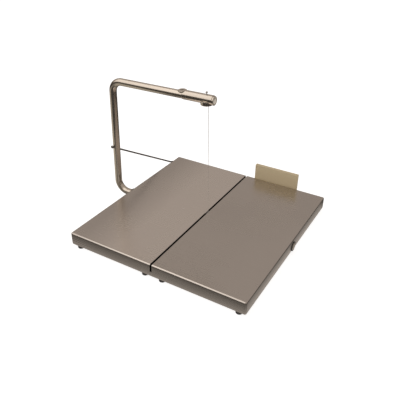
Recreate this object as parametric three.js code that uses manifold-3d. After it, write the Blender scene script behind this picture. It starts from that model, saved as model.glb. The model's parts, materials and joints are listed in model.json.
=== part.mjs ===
// A cheese wire cutter: a flat stainless steel base with a slot from front to back, and a C-shaped bow of
// bent tube that swings over it. The bow's lower leg is its own pivot shaft, under the plate. A wire is
// stretched from the arm's end down to that shaft, so that it sweeps through the cheese and comes to lie in
// the slot.
//
// Millimetres, +Z up, +X to the right, the front of the base towards -Y. The base is drawn with Z = 0 on its
// top face; the whole part is moved at the end, so that its origin is at the middle of its outer box, on the
// surface that the feet stand on.
import * as THREE from "three";
import { mergeVertices } from "three/addons/utils/BufferGeometryUtils.js";
import Module from "manifold-3d";

const wasm = await Module();
wasm.setup();

// ---------------------------------------------------------------- driving dimensions

// Between pieces that touch, or that are screwed together.
const GAP = 0.3;

// Base: one sheet, folded down on four sides and in again under the walls.
const BASE_WIDTH = 404;
const BASE_DEPTH = 416;
const BASE_HEIGHT = 28;
const SHEET = 1.5;
const CORNER_RADIUS = 4;
const FOLD_RADIUS = 3;
const RETURN_WIDTH = 26;

// The slot that the wire sweeps in, and its notches in the front and back walls.
const SLOT_X = 0;
const SLOT_WIDTH = 4.4;
const NOTCH_DEPTH = 17;

// Trough under the slot.
const TROUGH_WIDTH = 12;
const TROUGH_DEPTH = 22;
const TROUGH_SHEET = 1.2;
const TROUGH_LIP = 9;

// Flat bars across the base, under the trough.
const TIE_BAR_WIDTH = 30;
const TIE_BAR_THICKNESS = 2;
const TIE_BAR_FROM_END = 88;

// Rubber feet, with a screw through the sheet into each.
const FOOT_RADIUS = 7.5;
const FOOT_TAPER = 1;
const FOOT_HEIGHT = 8;
const FOOT_INSET_X = 17;
const FOOT_INSET_Y = 9.5;
const FOOT_FROM_SLOT = 20;
const FOOT_SCREW_RADIUS = 2;
const FOOT_SCREW_LENGTH = 5;
const SCREW_HEAD_HEIGHT = 2;

// Pivot of the bow.
const PIVOT_Y = 13;
const PIVOT_DROP = 18;
const SHAFT_PAST_WALL = -1;
const RUNNING_CLEARANCE = 0.1;

// Bearing bushes, in notches in the side walls that a bar closes underneath, and plates that carry the shaft
// on both sides of the slot.
const BUSH_WALL = 1.8;
const BUSH_INSIDE = 8;
const LEFT_COLLAR_WALL = 2.9;
const LEFT_COLLAR_LENGTH = 8;
const RIGHT_FLANGE_WALL = 2.5;
const RIGHT_FLANGE_LENGTH = 1.4;
const KEEPER_LENGTH = 60;
const KEEPER_THICKNESS = 2;
const RELIEF_MARGIN = 4.3;
const BRACKET_FROM_SLOT = 18;
const BRACKET_LENGTH = 36;
const BRACKET_THICKNESS = 3;
const BRACKET_FOOT = 12;

// Collars that stop the shaft from sliding sideways.
const COLLAR_WALL = 4.7;
const COLLAR_LENGTH = 9;
const GRUB_RADIUS = 2;

// Bow: a bent tube in one plane.
const BOW_LEAN = THREE.MathUtils.degToRad(2);
const TUBE_RADIUS = 8;
const TUBE_WALL = 1.5;
const BEND_RADIUS = 26;
const LEG_FROM_BASE = 48.5;
const LEG_TILT = THREE.MathUtils.degToRad(2.9);
const BOW_HEIGHT = 276.3;
const ARM_RISE = THREE.MathUtils.degToRad(0.7);
const ARM_PAST_WIRE = 11;

// Cutting wire.
const WIRE_RADIUS = 0.4;
const WIRE_HOLE_RADIUS = 0.9;
const CRIMP_RADIUS = 2.4;
const CRIMP_LENGTH = 4;

// Grip sleeve over the arm's end: its wall is thicker on top, where the lock screw goes in.
const SLEEVE_WALL = 1.3;
const SLEEVE_RAISE = 0.8;
const SLEEVE_LENGTH = 67.5;

// Wheel that winds the wire, in a flat on top of the arm at the sleeve's inner end.
const WHEEL_RADIUS = 9.2;
const WHEEL_THICKNESS = 2.5;
const WHEEL_FROM_WIRE = 59.5;
const WHEEL_SEAT_DEPTH = 1;
const WHEEL_PIN_HOLE_RADIUS = 1.3;
const WHEEL_PIN_HOLE_FROM_EDGE = 3.4;
const SPINDLE_RADIUS = 3;

// Pin that turns the wire from upright to along the arm.
const GUIDE_PIN_RADIUS = 2;

// Round outlet under the arm that the wire comes out of.
const OUTLET_WALL = 2.6;
const OUTLET_FROM_WIRE = 4;
const OUTLET_TOP = -2;
const OUTLET_BELOW_SLEEVE = 1.6;
const OUTLET_NECK_RADIUS = 5.6;

// Ball-headed screw that locks the wire.
const LOCK_SCREW_RADIUS = 1.1;
const LOCK_BALL_RADIUS = 2.2;
const LOCK_BALL_ABOVE_SLEEVE = 4;

// Plugs in the arm's end and in the shaft's end.
const PLUG_LENGTH = 6;
const CAP_THICKNESS = 2.8;
const CAP_ROUNDING = 1;
const CAP_GROOVE_DEPTH = 0.8;
const CAP_GROOVE_WIDTH = 1.6;
const CAP_RIM_WIDTH = 1.2;

// Stop rod: screwed through the leg, with one lock nut in front. It comes down on a pad on a lug at the back
// of the left wall.
const ROD_RADIUS = 2;
const ROD_HEIGHT = 112;
const ROD_PAST_LEG = 16;
const ROD_TIP_FROM_BACK = 14;
const ROD_TIP_HEIGHT = -3;
const ROD_TIP_FROM_BASE = 10;
const ROD_NUT_RADIUS = 3.4;
const ROD_NUT_LENGTH = 4;
const TIP_RADIUS = 3.5;
const TIP_LENGTH = 5;
const BACK_SWING = THREE.MathUtils.degToRad(3);
const STOP_PAD_SIZE = 14;
const STOP_PAD_THICKNESS = 2;
const STOP_LUG_SHEET = 2;
const STOP_LUG_FROM_TOP = 8;

// Upright panel behind the back edge, that the cheese is squared up against.
const PANEL_FROM_SLOT = 22;
const PANEL_WIDTH = 109;
const PANEL_HEIGHT = 36;
const PANEL_BELOW = 22;
const PANEL_THICKNESS = 8;
const PANEL_SCREW_INSET = 25;
const PANEL_SCREW_DROP = 12;
const PANEL_SCREW_RADIUS = 2;
const PANEL_SCREW_HEAD_RADIUS = 5;
const PANEL_SCREW_HEAD_LENGTH = 3.5;
const PANEL_NUT_RADIUS = 4;
const PANEL_NUT_LENGTH = 3;

// Facets: sides of round pieces, and steps in each bend of the tube.
const ROUND = 24;
const SMALL_ROUND = 12;
const BEND_STEPS = 9;

// ---------------------------------------------------------------- materials

function metal(name, color, roughness) {
  return new THREE.MeshStandardMaterial({ name, color, roughness, metalness: 1 });
}

function plain(name, color, roughness) {
  return new THREE.MeshStandardMaterial({ name, color, roughness, metalness: 0 });
}

const brushedSheet = metal("brushed_sheet", 0x9c9389, 0.35);
const polishedTube = metal("polished_tube", 0xb0a595, 0.18);
const plainSteel = metal("plain_steel", 0x8f8b86, 0.4);
const wireSteel = metal("wire_steel", 0xb8b8b8, 0.25);
const blackRubber = plain("black_rubber", 0x15120f, 0.8);
const blackPlastic = plain("black_plastic", 0x1a1a1a, 0.5);
const amberPanel = plain("amber_panel", 0xa89b7d, 0.15);

// ---------------------------------------------------------------- solids

// A geometry as a manifold solid, turned to face out.
function solid(geometry) {
  const bare = (geometry.index ? geometry.toNonIndexed() : geometry.clone());
  bare.deleteAttribute("normal");
  bare.deleteAttribute("uv");
  const merged = mergeVertices(bare, 1e-4);
  const vertProperties = merged.attributes.position.array;
  const triVerts = new Uint32Array(merged.index.array);
  const made = new wasm.Manifold(new wasm.Mesh({ numProp: 3, vertProperties, triVerts }));
  if (made.volume() > 0) return made;
  const turned = triVerts.map((_, i) => triVerts[i - (i % 3) + 2 - (i % 3)]);
  return new wasm.Manifold(new wasm.Mesh({ numProp: 3, vertProperties, triVerts: turned }));
}

function toGeometry(made) {
  const { vertProperties, triVerts, numProp } = made.getMesh();
  const count = vertProperties.length / numProp;
  const position = new Float32Array(count * 3);
  for (let i = 0; i < count; i++) {
    position.set(vertProperties.subarray(i * numProp, i * numProp + 3), i * 3);
  }
  const geometry = new THREE.BufferGeometry();
  geometry.setAttribute("position", new THREE.BufferAttribute(position, 3));
  geometry.setIndex(new THREE.BufferAttribute(triVerts, 1));
  geometry.computeVertexNormals();
  return geometry;
}

function cut(body, ...tools) {
  return tools.reduce((rest, tool) => rest.subtract(tool), body);
}

function join(first, ...others) {
  return others.reduce((all, other) => all.add(other), first);
}

// A box from its lowest and highest corners.
function box(x0, x1, y0, y1, z0, z1) {
  const geometry = new THREE.BoxGeometry(x1 - x0, y1 - y0, z1 - z0);
  geometry.translate((x0 + x1) / 2, (y0 + y1) / 2, (z0 + z1) / 2);
  return solid(geometry);
}

// Turns a geometry whose own axis is +Y so that it lies along +X, or stands along +Z.
const ALONG = {
  x: (geometry) => geometry.rotateZ(-Math.PI / 2),
  y: (geometry) => geometry,
  z: (geometry) => geometry.rotateX(Math.PI / 2),
};

// A cylinder whose axis runs from `from` to `to` along one of the three axes, through (x, y, z).
function rod(axis, radius, from, to, [x, y, z] = [0, 0, 0], sides = ROUND) {
  const geometry = new THREE.CylinderGeometry(radius, radius, to - from, sides);
  geometry.translate(0, (from + to) / 2, 0);
  return solid(ALONG[axis](geometry).translate(x, y, z));
}

// A turned piece: the profile is a closed list of [radius, distance along the axis].
function turned(axis, profile, [x, y, z] = [0, 0, 0], sides = ROUND) {
  const points = profile.map(([radius, along]) => new THREE.Vector2(radius, along));
  points.push(points[0].clone());
  return solid(ALONG[axis](new THREE.LatheGeometry(points, sides)).translate(x, y, z));
}

// A washer, ring or collar.
function ring(axis, outer, inner, from, to, at, sides = ROUND) {
  return turned(axis, [[inner, from], [outer, from], [outer, to], [inner, to]], at, sides);
}

// A hexagonal nut with a round bore.
function nut(axis, radius, bore, from, to, at) {
  return cut(rod(axis, radius, from, to, at, 6), rod(axis, bore, from - 1, to + 1, at, SMALL_ROUND));
}

// A rectangle with round corners, as a shape in the XY plane.
function roundedRectangle(width, depth, radius) {
  const x = width / 2;
  const y = depth / 2;
  const shape = new THREE.Shape();
  shape.moveTo(x - radius, -y);
  shape.absarc(x - radius, -y + radius, radius, -Math.PI / 2, 0);
  shape.absarc(x - radius, y - radius, radius, 0, Math.PI / 2);
  shape.absarc(-x + radius, y - radius, radius, Math.PI / 2, Math.PI);
  shape.absarc(-x + radius, -y + radius, radius, Math.PI, 1.5 * Math.PI);
  return shape;
}

// An upright block with round corners and a rounded top edge, from z = -height up to z = top.
function foldedBlock(width, depth, height, top, corner, fold) {
  const outline = roundedRectangle(width - 2 * fold, depth - 2 * fold, Math.max(corner - fold, 0.2));
  const geometry = new THREE.ExtrudeGeometry(outline, {
    depth: height - fold,
    curveSegments: 2,
    bevelEnabled: true,
    bevelThickness: fold,
    bevelSize: fold,
    bevelSegments: 3,
  });
  geometry.translate(0, 0, top - height);
  const above = box(-width, width, -depth, depth, -height + top, top + 1);
  return solid(geometry).intersect(above);
}

// ---------------------------------------------------------------- the scene graph

const part = new THREE.Group();
const base = new THREE.Group();
const bow = new THREE.Group();
const arm = new THREE.Group();
part.add(base);
base.add(bow);
bow.add(arm);

function add(group, name, made, material) {
  const mesh = new THREE.Mesh(toGeometry(made), material);
  mesh.name = name;
  group.add(mesh);
}

const left = -BASE_WIDTH / 2;
const right = BASE_WIDTH / 2;
const front = -BASE_DEPTH / 2;
const back = BASE_DEPTH / 2;
const underside = -BASE_HEIGHT;
const pivot = [0, PIVOT_Y, -PIVOT_DROP];
const shaftBore = TUBE_RADIUS + RUNNING_CLEARANCE;
const collarRadius = TUBE_RADIUS + COLLAR_WALL;

bow.position.set(...pivot);
bow.rotation.x = BOW_LEAN;

// ---------------------------------------------------------------- base

const wallHole = shaftBore + BUSH_WALL + GAP;
const panelX = SLOT_X + PANEL_FROM_SLOT;
const panelScrews = [panelX + PANEL_SCREW_INSET, panelX + PANEL_WIDTH - PANEL_SCREW_INSET];
const feet = [];
for (const y of [front + FOOT_INSET_Y, back - FOOT_INSET_Y]) {
  feet.push([left + FOOT_INSET_X, y, underside]);
  feet.push([SLOT_X - FOOT_FROM_SLOT, y, underside]);
  feet.push([SLOT_X + FOOT_FROM_SLOT, y, underside]);
  feet.push([right - FOOT_INSET_X, y, underside]);
}

function baseShell() {
  const outer = foldedBlock(BASE_WIDTH, BASE_DEPTH, BASE_HEIGHT, 0, CORNER_RADIUS, FOLD_RADIUS);
  const inner = foldedBlock(
    BASE_WIDTH - 2 * SHEET, BASE_DEPTH - 2 * SHEET, BASE_HEIGHT - 2 * SHEET, -SHEET,
    CORNER_RADIUS - SHEET, FOLD_RADIUS - SHEET,
  );
  const mouth = box(
    left + RETURN_WIDTH, right - RETURN_WIDTH, front + RETURN_WIDTH, back - RETURN_WIDTH,
    underside - 1, underside + SHEET + 1,
  );
  const slot = box(
    SLOT_X - SLOT_WIDTH / 2, SLOT_X + SLOT_WIDTH / 2, front - 1, back + 1, -NOTCH_DEPTH, 1,
  );
  const shaftHoles = rod("x", wallHole, left - 1, right + 1, pivot);
  const shaftMouths = box(
    left - 1, right + 1, PIVOT_Y - wallHole, PIVOT_Y + wallHole, underside - 1, -PIVOT_DROP,
  );
  const relief = collarRadius + RELIEF_MARGIN;
  const shaftRelief = box(
    left + SHEET, right - SHEET, PIVOT_Y - relief, PIVOT_Y + relief, underside - 1, underside + SHEET + 1,
  );
  const footHoles = feet.map((at) => (
    rod("z", FOOT_SCREW_RADIUS + GAP, -1, SHEET + 1, at, SMALL_ROUND)
  ));
  const panelHoles = panelScrews.map((x) => (
    rod("y", PANEL_SCREW_RADIUS + GAP, back - SHEET - 1, back + 1, [x, 0, -PANEL_SCREW_DROP], SMALL_ROUND)
  ));
  return cut(
    outer, inner, mouth, slot, shaftHoles, shaftMouths, shaftRelief, ...footHoles, ...panelHoles,
  );
}

// A trough of U section with lips under the plate, from y0 to y1.
function trough(y0, y1) {
  const top = -SHEET - GAP;
  const half = TROUGH_WIDTH / 2;
  const outside = half + TROUGH_SHEET;
  const lip = outside + TROUGH_LIP;
  const tray = box(SLOT_X - outside, SLOT_X + outside, y0, y1, -TROUGH_DEPTH - TROUGH_SHEET, top);
  const lips = box(SLOT_X - lip, SLOT_X + lip, y0, y1, top - TROUGH_SHEET, top);
  const inside = box(SLOT_X - half, SLOT_X + half, y0 - 1, y1 + 1, -TROUGH_DEPTH, 1);
  return cut(join(tray, lips), inside);
}

function tieBar(y) {
  const low = underside + SHEET + GAP;
  const inset = SHEET + GAP;
  const half = TIE_BAR_WIDTH / 2;
  return box(left + inset, right - inset, y - half, y + half, low, low + TIE_BAR_THICKNESS);
}

// An angle bracket under the plate that the shaft runs through. `side` is -1 left of the slot, +1 right.
function shaftBracket(side) {
  const face = SLOT_X + side * BRACKET_FROM_SLOT;
  const far = face + side * BRACKET_THICKNESS;
  const end = face + side * BRACKET_FOOT;
  const [x0, x1] = [Math.min(face, far), Math.max(face, far)];
  const [x2, x3] = [Math.min(face, end), Math.max(face, end)];
  const y0 = PIVOT_Y - BRACKET_LENGTH / 2;
  const y1 = PIVOT_Y + BRACKET_LENGTH / 2;
  const top = -SHEET - GAP;
  const web = box(x0, x1, y0, y1, underside + GAP, top);
  const flange = box(x2, x3, y0, y1, top - BRACKET_THICKNESS / 2, top);
  return cut(join(web, flange), rod("x", shaftBore, x0 - 1, x1 + 1, pivot));
}

function bush(flangeWall, flangeFrom, flangeTo, insideTo) {
  const outerRadius = shaftBore + flangeWall;
  const body = shaftBore + BUSH_WALL;
  const from = Math.min(flangeFrom, insideTo);
  const to = Math.max(flangeTo, insideTo);
  const sleeve = ring("x", body, shaftBore, from, to, pivot);
  return join(sleeve, ring("x", outerRadius, shaftBore, flangeFrom, flangeTo, pivot));
}

add(base, "base_shell", baseShell(), brushedSheet);
const troughEnd = TUBE_RADIUS + CRIMP_LENGTH + 3;
add(base, "drip_trough_front", trough(front + FOLD_RADIUS + GAP, PIVOT_Y - troughEnd), plainSteel);
add(base, "drip_trough_back", trough(PIVOT_Y + troughEnd, back - FOLD_RADIUS - GAP), plainSteel);
add(base, "tie_bar_front", tieBar(front + TIE_BAR_FROM_END), plainSteel);
add(base, "tie_bar_back", tieBar(back - TIE_BAR_FROM_END), plainSteel);
add(base, "shaft_bracket_left", shaftBracket(-1), plainSteel);
add(base, "shaft_bracket_right", shaftBracket(1), plainSteel);
add(
  base, "bearing_bush_left",
  bush(LEFT_COLLAR_WALL, left - GAP - LEFT_COLLAR_LENGTH, left - GAP, left + BUSH_INSIDE), blackPlastic,
);
add(
  base, "bearing_bush_right",
  bush(RIGHT_FLANGE_WALL, right + GAP, right + GAP + RIGHT_FLANGE_LENGTH, right - BUSH_INSIDE), blackPlastic,
);

// The bars that close the notches, each with a saddle that its bush rests in.
function bearingKeeper(x0, x1) {
  const bushBottom = -PIVOT_DROP - shaftBore - BUSH_WALL;
  const low = Math.min(bushBottom, underside) - GAP - KEEPER_THICKNESS;
  const halfLength = KEEPER_LENGTH / 2;
  const halfSaddle = wallHole - GAP;
  const bar = box(x0, x1, PIVOT_Y - halfLength, PIVOT_Y + halfLength, low, underside - GAP);
  const saddleTop = -PIVOT_DROP - halfSaddle / 2;
  const saddle = box(x0, x1, PIVOT_Y - halfSaddle, PIVOT_Y + halfSaddle, low, saddleTop);
  return cut(join(bar, saddle), rod("x", wallHole, x0 - 1, x1 + 1, pivot));
}

add(base, "bearing_keeper_left", bearingKeeper(left + SHEET + GAP, left + BUSH_INSIDE - GAP), plainSteel);
add(base, "bearing_keeper_right", bearingKeeper(right - BUSH_INSIDE + GAP, right - SHEET - GAP), plainSteel);

feet.forEach((at, i) => {
  const bottom = FOOT_RADIUS - FOOT_TAPER;
  const hole = FOOT_SCREW_RADIUS + GAP;
  const profile = [
    [0, -FOOT_HEIGHT], [bottom, -FOOT_HEIGHT], [FOOT_RADIUS, -GAP], [hole, -GAP],
    [hole, -FOOT_SCREW_LENGTH - GAP], [0, -FOOT_SCREW_LENGTH - GAP],
  ];
  add(base, `foot_${i + 1}`, turned("z", profile, at, 16), blackRubber);
});

feet.forEach((at, i) => {
  const seat = SHEET + GAP;
  const shank = rod("z", FOOT_SCREW_RADIUS, -FOOT_SCREW_LENGTH, seat + 0.5, at, SMALL_ROUND);
  const head = rod("z", 2 * FOOT_SCREW_RADIUS, seat, seat + SCREW_HEAD_HEIGHT, at, SMALL_ROUND);
  add(base, `foot_screw_${i + 1}`, join(shank, head), plainSteel);
});

// ---------------------------------------------------------------- back panel

const panelFace = back + GAP;
const panelBack = panelFace + PANEL_THICKNESS;
add(
  base, "back_panel",
  cut(
    box(panelX, panelX + PANEL_WIDTH, panelFace, panelBack, -PANEL_BELOW, PANEL_HEIGHT),
    ...panelScrews.map((x) => (
      rod("y", PANEL_SCREW_RADIUS + GAP, back, panelBack + 1, [x, 0, -PANEL_SCREW_DROP], SMALL_ROUND)
    )),
  ),
  amberPanel,
);

panelScrews.forEach((x, i) => {
  const at = [x, 0, -PANEL_SCREW_DROP];
  const head = panelBack + GAP;
  const nutFace = back - SHEET - GAP;
  const shankEnd = nutFace - PANEL_NUT_LENGTH - 1.5;
  const shank = rod("y", PANEL_SCREW_RADIUS, shankEnd, head + 0.5, at, SMALL_ROUND);
  const knob = rod("y", PANEL_SCREW_HEAD_RADIUS, head, head + PANEL_SCREW_HEAD_LENGTH, at, 16);
  add(base, `panel_screw_${i + 1}`, join(shank, knob), polishedTube);
  const bore = PANEL_SCREW_RADIUS + GAP;
  const hexagon = nut("y", PANEL_NUT_RADIUS, bore, nutFace - PANEL_NUT_LENGTH, nutFace, at);
  add(base, `panel_nut_${i + 1}`, hexagon, plainSteel);
});

// ---------------------------------------------------------------- bow tube

// A bend of the tube, turning about an axis along Y.
class Bend extends THREE.Curve {
  constructor(centre, start, angle) {
    super();
    this.centre = centre;
    this.spoke = start.clone().sub(centre);
    this.angle = angle;
    this.axis = new THREE.Vector3(0, 1, 0);
  }

  getPoint(t, target = new THREE.Vector3()) {
    return target.copy(this.spoke).applyAxisAngle(this.axis, this.angle * t).add(this.centre);
  }
}

// Straight runs between the corners, with a bend of one radius at each corner, all in the XZ plane.
function bentPath(corners, radius) {
  const path = new THREE.CurvePath();
  let from = corners[0];
  for (let i = 1; i < corners.length - 1; i++) {
    const into = corners[i].clone().sub(corners[i - 1]).normalize();
    const out = corners[i + 1].clone().sub(corners[i]).normalize();
    const turn = into.angleTo(out);
    const setback = radius * Math.tan(turn / 2);
    const start = corners[i].clone().addScaledVector(into, -setback);
    const inward = out.clone().sub(into).normalize();
    const centre = corners[i].clone().addScaledVector(inward, radius / Math.cos(turn / 2));
    const way = Math.sign(into.clone().cross(out).y);
    path.add(new THREE.LineCurve3(from, start));
    path.add(new Bend(centre, start, way * turn));
    from = corners[i].clone().addScaledVector(out, setback);
  }
  path.add(new THREE.LineCurve3(from, corners.at(-1)));
  return path;
}

// The same path, stepped only where it needs a section: at the ends of straight runs and along each bend.
class SteppedPath extends THREE.Curve {
  constructor(path, bendSteps) {
    super();
    this.path = path;
    this.stations = [0];
    const total = path.getLength();
    let reached = 0;
    for (const curve of path.curves) {
      const steps = curve instanceof Bend ? bendSteps : 1;
      const length = curve.getLength();
      for (let i = 1; i <= steps; i++) this.stations.push((reached + (length * i) / steps) / total);
      reached += length;
    }
    this.stations[this.stations.length - 1] = 1;
  }

  get steps() {
    return this.stations.length - 1;
  }

  getPointAt(u, target) {
    return this.path.getPoint(this.stations[Math.round(u * this.steps)], target);
  }

  getTangentAt(u, target) {
    return this.path.getTangent(this.stations[Math.round(u * this.steps)], target);
  }
}

// A round tube, or a bar when `inner` is 0, along a path.
function sweep(path, outer, inner, sides) {
  const section = new THREE.Shape().absarc(0, 0, outer, 0, 2 * Math.PI);
  if (inner > 0) section.holes.push(new THREE.Path().absarc(0, 0, inner, 0, 2 * Math.PI, true));
  const settings = { steps: path.steps, curveSegments: sides / 2, extrudePath: path };
  return solid(new THREE.ExtrudeGeometry(section, settings));
}

// Corners of the bow in its own frame: X along the shaft, Z up from it.
const legFootX = left - LEG_FROM_BASE;
const legTopX = legFootX + Math.tan(LEG_TILT) * BOW_HEIGHT;
const armHeightAt = (x) => BOW_HEIGHT + Math.tan(ARM_RISE) * (x - legTopX);
const shaftEndX = right + SHAFT_PAST_WALL;
const armEndX = SLOT_X + ARM_PAST_WIRE * Math.cos(ARM_RISE);
const bowCorners = [
  new THREE.Vector3(shaftEndX, 0, 0),
  new THREE.Vector3(legFootX, 0, 0),
  new THREE.Vector3(legTopX, 0, BOW_HEIGHT),
  new THREE.Vector3(armEndX, 0, armHeightAt(armEndX)),
];

// The arm's frame: X along the arm, Z up, with its origin on the arm's axis over the slot.
arm.position.set(SLOT_X, 0, armHeightAt(SLOT_X));
arm.rotation.y = -ARM_RISE;
arm.updateMatrix();
const inBow = (made) => made.transform(arm.matrix.elements);

const tubeBore = TUBE_RADIUS - TUBE_WALL;
const sleeveRadius = TUBE_RADIUS + GAP + SLEEVE_WALL;
const outletRadius = sleeveRadius + GAP + OUTLET_WALL;
const outletBottom = SLEEVE_RAISE - sleeveRadius - OUTLET_BELOW_SLEEVE;
const lockBallHeight = SLEEVE_RAISE + sleeveRadius + LOCK_BALL_ABOVE_SLEEVE;
const wheelSeat = TUBE_RADIUS - WHEEL_SEAT_DEPTH;
const wheelX = -WHEEL_FROM_WIRE;
const wheelCutRadius = WHEEL_RADIUS + GAP;
const wheelUnderside = wheelSeat + GAP;
const sleeveStart = ARM_PAST_WIRE - SLEEVE_LENGTH;
const lockScrewX = -OUTLET_FROM_WIRE;
const guidePinX = -(GUIDE_PIN_RADIUS + GAP + WIRE_RADIUS);

// The room above the wheel's flat, cut out of the tube and the sleeve alike.
const wheelRoom = rod("z", wheelCutRadius, wheelSeat, wheelSeat + 10, [wheelX, 0, 0]);
const lockScrewHole = rod("z", LOCK_SCREW_RADIUS + GAP, 0, 20, [lockScrewX, 0, 0], SMALL_ROUND);
const outletHole = rod("z", OUTLET_NECK_RADIUS + GAP, -20, 0, [lockScrewX, 0, 0]);
const guidePinHole = rod("y", GUIDE_PIN_RADIUS + GAP, -20, 20, [guidePinX, 0, 0], SMALL_ROUND);
const spindleHole = rod("z", SPINDLE_RADIUS + GAP, 0, 20, [wheelX, 0, 0], SMALL_ROUND);

// Where the stop rod runs, in the bow's frame.
const rodAtLeg = new THREE.Vector3(legFootX + Math.tan(LEG_TILT) * ROD_HEIGHT, 0, ROD_HEIGHT);
const rodTipY = back - ROD_TIP_FROM_BACK - PIVOT_Y;
const rodTip = new THREE.Vector3(left - ROD_TIP_FROM_BASE, rodTipY, ROD_TIP_HEIGHT);
const rodWay = rodTip.clone().sub(rodAtLeg).normalize();
const rodTurn = new THREE.Quaternion().setFromUnitVectors(new THREE.Vector3(0, 0, 1), rodWay);
const rodLength = rodTip.distanceTo(rodAtLeg);
const rodMatrix = new THREE.Matrix4().compose(rodAtLeg, rodTurn, new THREE.Vector3(1, 1, 1));
const onRod = (made) => made.transform(rodMatrix.elements);

function bowTube() {
  const path = new SteppedPath(bentPath(bowCorners, BEND_RADIUS), BEND_STEPS);
  const tube = sweep(path, TUBE_RADIUS, tubeBore, ROUND);
  const armHoles = [wheelRoom, lockScrewHole, outletHole, guidePinHole, spindleHole].map(inBow);
  const wireHole = rod("z", WIRE_HOLE_RADIUS, -20, 20, [SLOT_X, 0, 0], 8);
  const rodHole = onRod(rod("z", ROD_RADIUS + GAP, -30, 30, [0, 0, 0], SMALL_ROUND));
  return cut(tube, ...armHoles, wireHole, rodHole);
}

add(bow, "bow_tube", bowTube(), polishedTube);

// Stop collars on the shaft, just inside both side walls, each with a grub screw.
for (const [side, wall] of [["left", left], ["right", right]]) {
  const inward = side === "left" ? 1 : -1;
  const near = wall + inward * (BUSH_INSIDE + GAP);
  const far = near + inward * COLLAR_LENGTH;
  const [x0, x1] = [Math.min(near, far), Math.max(near, far)];
  const middle = (x0 + x1) / 2;
  const inner = TUBE_RADIUS + GAP;
  const hole = rod("y", GRUB_RADIUS + GAP, 0, collarRadius + 1, [middle, 0, 0], SMALL_ROUND);
  add(bow, `shaft_collar_${side}`, cut(ring("x", collarRadius, inner, x0, x1), hole), plainSteel);
  const grub = rod("y", GRUB_RADIUS, inner, collarRadius - 0.7, [middle, 0, 0], SMALL_ROUND);
  add(bow, `collar_grub_screw_${side}`, grub, plainSteel);
}

// ---------------------------------------------------------------- cutting wire

// From the crimp under the shaft, up to the guide pin, round it, and along the arm to the winding spindle.
function wirePath() {
  const bend = GUIDE_PIN_RADIUS + GAP + WIRE_RADIUS;
  const corner = new THREE.Vector3(0, 0, bend).applyMatrix4(arm.matrix);
  const end = new THREE.Vector3(wheelX + SPINDLE_RADIUS + GAP, 0, bend).applyMatrix4(arm.matrix);
  const foot = new THREE.Vector3(SLOT_X, 0, -TUBE_RADIUS - GAP);
  corner.x = SLOT_X;
  return new SteppedPath(bentPath([foot, corner, end], bend), 5);
}

add(bow, "cutting_wire", sweep(wirePath(), WIRE_RADIUS, 0, 8), wireSteel);
const crimpTop = -TUBE_RADIUS - 2 * GAP;
add(
  bow, "wire_crimp",
  rod("z", CRIMP_RADIUS, crimpTop - CRIMP_LENGTH, crimpTop, [SLOT_X, 0, 0], SMALL_ROUND), plainSteel,
);

// ---------------------------------------------------------------- pieces on the arm

function gripSleeve() {
  const shell = cut(
    rod("x", sleeveRadius, sleeveStart, ARM_PAST_WIRE, [0, 0, SLEEVE_RAISE]),
    rod("x", TUBE_RADIUS + GAP, sleeveStart - 1, ARM_PAST_WIRE + 1),
  );
  return cut(shell, wheelRoom, lockScrewHole, outletHole);
}

function tensionWheel() {
  const top = wheelUnderside + WHEEL_THICKNESS;
  const round = 0.6;
  const profile = [
    [SPINDLE_RADIUS + GAP, wheelUnderside], [WHEEL_RADIUS - round, wheelUnderside],
    [WHEEL_RADIUS, wheelUnderside + round], [WHEEL_RADIUS, top - round],
    [WHEEL_RADIUS - round, top], [SPINDLE_RADIUS + GAP, top],
  ];
  const pinHole = rod(
    "z", WHEEL_PIN_HOLE_RADIUS, 0, top + 1, [wheelX, WHEEL_RADIUS - WHEEL_PIN_HOLE_FROM_EDGE, 0], 8,
  );
  return cut(turned("z", profile, [wheelX, 0, 0], 32), pinHole);
}

// A round boss that saddles the sleeve, with a neck up into the tube and a hole for the wire.
function wireOutlet() {
  const at = [lockScrewX, 0, 0];
  const round = 1.2;
  const profile = [
    [0, OUTLET_TOP], [outletRadius, OUTLET_TOP], [outletRadius, outletBottom + round],
    [outletRadius - round, outletBottom], [0, outletBottom],
  ];
  const saddle = rod("x", sleeveRadius + GAP, -40, 40, [0, 0, SLEEVE_RAISE]);
  const neck = rod("z", OUTLET_NECK_RADIUS, outletBottom + 0.4, -tubeBore + 1, at);
  const wireHole = rod("z", WIRE_HOLE_RADIUS, -20, 0, [0, 0, 0], 8);
  return cut(join(cut(turned("z", profile, at, 32), saddle), neck), wireHole);
}

// Its tip presses on the wire over the guide pin.
function lockScrew() {
  const at = [lockScrewX, 0, 0];
  const tip = GUIDE_PIN_RADIUS + 2 * GAP + 2 * WIRE_RADIUS;
  const ball = new THREE.SphereGeometry(LOCK_BALL_RADIUS, SMALL_ROUND, 8).rotateX(Math.PI / 2);
  ball.translate(lockScrewX, 0, lockBallHeight);
  return join(rod("z", LOCK_SCREW_RADIUS, tip, lockBallHeight, at, SMALL_ROUND), solid(ball));
}

// A plug with a flange that closes a tube's end. Its outer face has a groove round a flat middle.
function endPlug(start, flangeRadius) {
  const plug = tubeBore - GAP;
  const seat = start + GAP;
  const face = seat + CAP_THICKNESS;
  const grooveOut = flangeRadius - CAP_RIM_WIDTH;
  const grooveIn = grooveOut - CAP_GROOVE_WIDTH;
  return [
    [0, start - PLUG_LENGTH], [plug, start - PLUG_LENGTH], [plug, seat], [flangeRadius, seat],
    [flangeRadius, face - CAP_ROUNDING], [flangeRadius - CAP_ROUNDING / 2, face],
    [grooveOut, face], [grooveOut - GAP, face - CAP_GROOVE_DEPTH],
    [grooveIn, face - CAP_GROOVE_DEPTH], [grooveIn - GAP, face], [0, face],
  ];
}

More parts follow.
